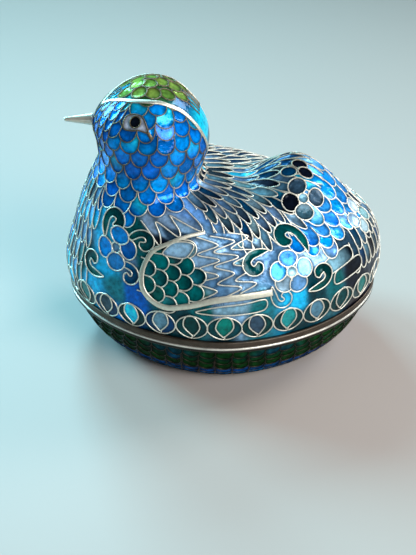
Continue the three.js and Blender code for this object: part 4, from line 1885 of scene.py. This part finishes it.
@dataclass
class Rims:
    """The brass rings along the bowl's and the lid's edges.

    Args:
        finishes: the materials.
        half_length: half length of the oval that they follow.
        half_width: its half width.
        fullness: how full its corners are.
        parting: height of the plane where bowl and lid meet.
        gap: height left open between the rings.
        inner: where their inner faces lie against that oval, below zero for inside it.
        lid_ring: how far the lid's ring stands out, and the height of its top.
        bowl_ring: how far the bowl's ring stands out, and the height of its foot.
        collar: inner and outer face of the collar against the rings' inner faces, and its height.
        rounding: radius of the rings' edges.
    """

    finishes: Finishes
    half_length: float = 42.5
    half_width: float = 33.7
    fullness: float = 1.8
    parting: float = 16.0
    gap: float = 0.3
    inner: float = -1.9
    lid_ring: Place = (0.7, 18.0)
    bowl_ring: Place = (0.6, 14.6)
    collar: tuple[float, float, float] = (-1.2, -0.4, 2.4)
    rounding: float = 0.35

    def build(self) -> None:
        """Makes and dresses both rings."""
        low, (out, high) = self.parting + self.gap, self.lid_ring
        corners = [(self.inner, low), (out, low), (out, high), (self.inner, high)]
        dress(self._ring("lid_rim", self._rounded(corners), self.finishes.lid_edge), "brass_edge", "lid_rim")
        out, foot = self.bowl_ring
        within, without, top = self.inner + self.collar[0], self.inner + self.collar[1], self.parting + self.collar[2]
        corners = [(within, foot), (out, foot), (out, self.parting), (without, self.parting), (without, top),
                   (within, top)]
        dress(self._ring("bowl_rim", self._rounded(corners), self.finishes.edge), "brass_edge", "bowl_rim")

    def _rounded(self, corners: Sequence[Place]) -> list[Place]:
        """Corners of a cross-section, each rounded by a small arc."""
        result: list[Place] = []
        count = len(corners)
        for i in range(count):
            here = np.array(corners[i])
            before, after = np.array(corners[i - 1]), np.array(corners[(i + 1) % count])
            into, away = before - here, after - here
            reach = min(self.rounding, np.linalg.norm(into) * 0.45, np.linalg.norm(away) * 0.45)
            start = here + into / np.linalg.norm(into) * reach
            end = here + away / np.linalg.norm(away) * reach
            for u in np.linspace(0.0, 1.0, 5):
                spot = (1 - u) ** 2 * start + 2 * u * (1 - u) * here + u**2 * end
                result.append((float(spot[0]), float(spot[1])))
        return result

    def _ring(self, name: str, profile: Sequence[Place], finish: bpy.types.Material) -> bpy.types.Object:
        """A ring swept round the rim oval."""
        around = 300
        angle = np.linspace(0.0, 2 * math.pi, around, endpoint=False)
        ones = np.ones_like(angle)
        rings = []
        for out, z in profile:
            x, y = superellipse((self.half_length + out) * ones, (self.half_width + out) * ones,
                                self.fullness * ones, angle)
            rings.append(np.column_stack([x, y, np.full_like(x, z)]))
        faces = ring_faces(len(rings), around, wrapped=True)
        return make_mesh(name, np.vstack(rings), faces, finish)


@dataclass
class Beak:
    """The bird's beak: a slim brass cone with a fine line between its halves.

    Args:
        finishes: the materials.
        base_x: where it meets the head.
        height: height of its middle line.
        length: its length.
        radius: its radius at the head.
    """

    finishes: Finishes
    base_x: float = -34.2
    height: float = 65.7
    length: float = 7.7
    radius: float = 1.7

    def build(self) -> None:
        """Makes and dresses the beak."""
        around, steps = 40, 34
        blunt, blunt_length, groove_depth, groove_width = 0.93, 0.07, 0.09, 0.09
        angle = np.linspace(0.0, 2 * math.pi, around, endpoint=False)
        rings = []
        for u in np.linspace(0.0, 1.0, steps):
            radius = self.radius * float(np.interp(u, (0.0, 0.26, 0.62, blunt), (1.0, 0.78, 0.55, 0.34)))
            if u > blunt:
                radius *= math.sqrt(max(1 - ((u - blunt) / blunt_length) ** 2, 0.001))
            depth = groove_depth if 0.08 < u < 0.9 else 0.0
            groove = 1.0 - depth * np.exp(-(np.sin(angle) / groove_width) ** 2)
            y, z = radius * np.cos(angle) * groove, self.height + radius * np.sin(angle)
            rings.append(np.column_stack([np.full_like(y, self.base_x - self.length * u), y, z]))
        faces = ring_faces(steps, around)
        faces.append(tuple(reversed(range(around))))
        faces.append(tuple((steps - 1) * around + i for i in range(around)))
        piece = make_mesh("beak", np.vstack(rings), faces, self.finishes.beak)
        dress(piece, "brass_edge", "beak")


@dataclass(frozen=True)
class Softbox:
    """A square soft light that points at the box.

    Args:
        name: the light's name.
        place: where it stands, in metres.
        aim: height that it points at, above the middle of the box's foot.
        size: length of its sides.
        power: its power in watts.
        colour: its colour.
        spread: how far its light spreads, in degrees.
    """

    name: str
    place: tuple[float, float, float]
    aim: float
    size: float
    power: float
    colour: tuple[float, float, float]
    spread: float = 80.0

    def build(self) -> None:
        """Makes the light."""
        data = bpy.data.lights.new(self.name, "AREA")
        data.size, data.energy, data.color = self.size, self.power, self.colour
        data.spread = math.radians(self.spread)
        lamp = bpy.data.objects.new(self.name, data)
        lamp.location = self.place
        ahead = Vector((0.0, 0.0, self.aim)) - Vector(self.place)
        lamp.rotation_euler = ahead.to_track_quat("-Z", "Y").to_euler()
        bpy.context.scene.collection.objects.link(lamp)


@dataclass
class Studio:
    """The pale floor, the lights and the camera.

    Args:
        elevation: how far the camera looks down, in degrees.
        distance: from the camera to the box's middle, in metres.
        lens: focal length for a sensor 36 mm on its long side.
        drop: how far the camera is raised in its own frame, which lowers the box in the picture.
        side: how far it is moved to the left, which moves the box to the right.
        floor_size: half the length of the floor's sides.
    """

    elevation: float = 34.0
    distance: float = 0.3431
    lens: float = 75.8
    drop: float = 0.01293
    side: float = 0.0041
    floor_size: float = 3.0

    def build(self) -> None:
        """Makes the floor, the lights and the camera."""
        self._floor()
        self._lights()
        self._camera()

    def _floor(self) -> None:
        """A plain pale floor."""
        mesh = bpy.data.meshes.new("floor")
        size = self.floor_size
        mesh.from_pydata([(-size, -size, 0), (size, -size, 0), (size, size, 0), (-size, size, 0)], [], [(0, 1, 2, 3)])
        material, _, shader = new_material("floor_paper")
        set_inputs(shader, {"Base Color": (0.48, 0.43, 0.40, 1.0), "Roughness": 0.45})
        mesh.materials.append(material)
        floor = bpy.data.objects.new("floor", mesh)
        bpy.context.scene.collection.objects.link(floor)

    def _lights(self) -> None:
        """A cool window with a light above it at the back, a key at the front right and a weak light behind it."""
        world = bpy.data.worlds.new("studio")
        world.use_nodes = True
        set_inputs(world.node_tree.nodes["Background"], {"Color": (0.60, 0.72, 0.85, 1.0), "Strength": 0.09})
        bpy.context.scene.world = world
        bpy.context.scene.view_settings.view_transform = "Standard"
        for light in (
            Softbox("window", (-0.62, 0.42, 0.34), 0.04, 0.34, 2.2, (0.34, 0.84, 1.0)),
            Softbox("overhead", (-0.16, 0.44, 0.42), 0.04, 0.20, 0.45, (0.40, 0.86, 1.0)),
            Softbox("key", (0.36, -0.38, 0.36), 0.03, 0.42, 1.05, (1.0, 0.99, 0.96)),
            Softbox("side", (0.42, 0.24, 0.36), 0.03, 0.24, 0.40, (0.96, 0.98, 1.0)),
        ):
            light.build()

    def _camera(self) -> None:
        """The camera at the photograph's angle."""
        data = bpy.data.cameras.new("camera")
        data.lens = self.lens
        data.sensor_width = 36.0
        data.clip_start = 0.01
        camera = bpy.data.objects.new("camera", data)
        tilt = math.radians(self.elevation)
        ahead = Vector((0.0, math.cos(tilt), -math.sin(tilt)))
        up = Vector((0.0, math.sin(tilt), math.cos(tilt)))
        camera.location = -self.distance * ahead + self.drop * up - Vector((self.side, 0.0, 0.0))
        camera.rotation_euler = (math.pi / 2 - tilt, 0.0, 0.0)
        bpy.context.scene.collection.objects.link(camera)
        bpy.context.scene.camera = camera


def main() -> None:
    """Builds the box piece by piece and then the studio."""
    logging.basicConfig(level=logging.INFO, format="%(name)s %(message)s")
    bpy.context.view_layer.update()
    finishes = Finishes.make()
    Studio().build()
    Lid(finishes).build()
    Bowl(finishes).build()
    Rims(finishes).build()
    Beak(finishes).build()


if __name__ == "__main__":
    main()
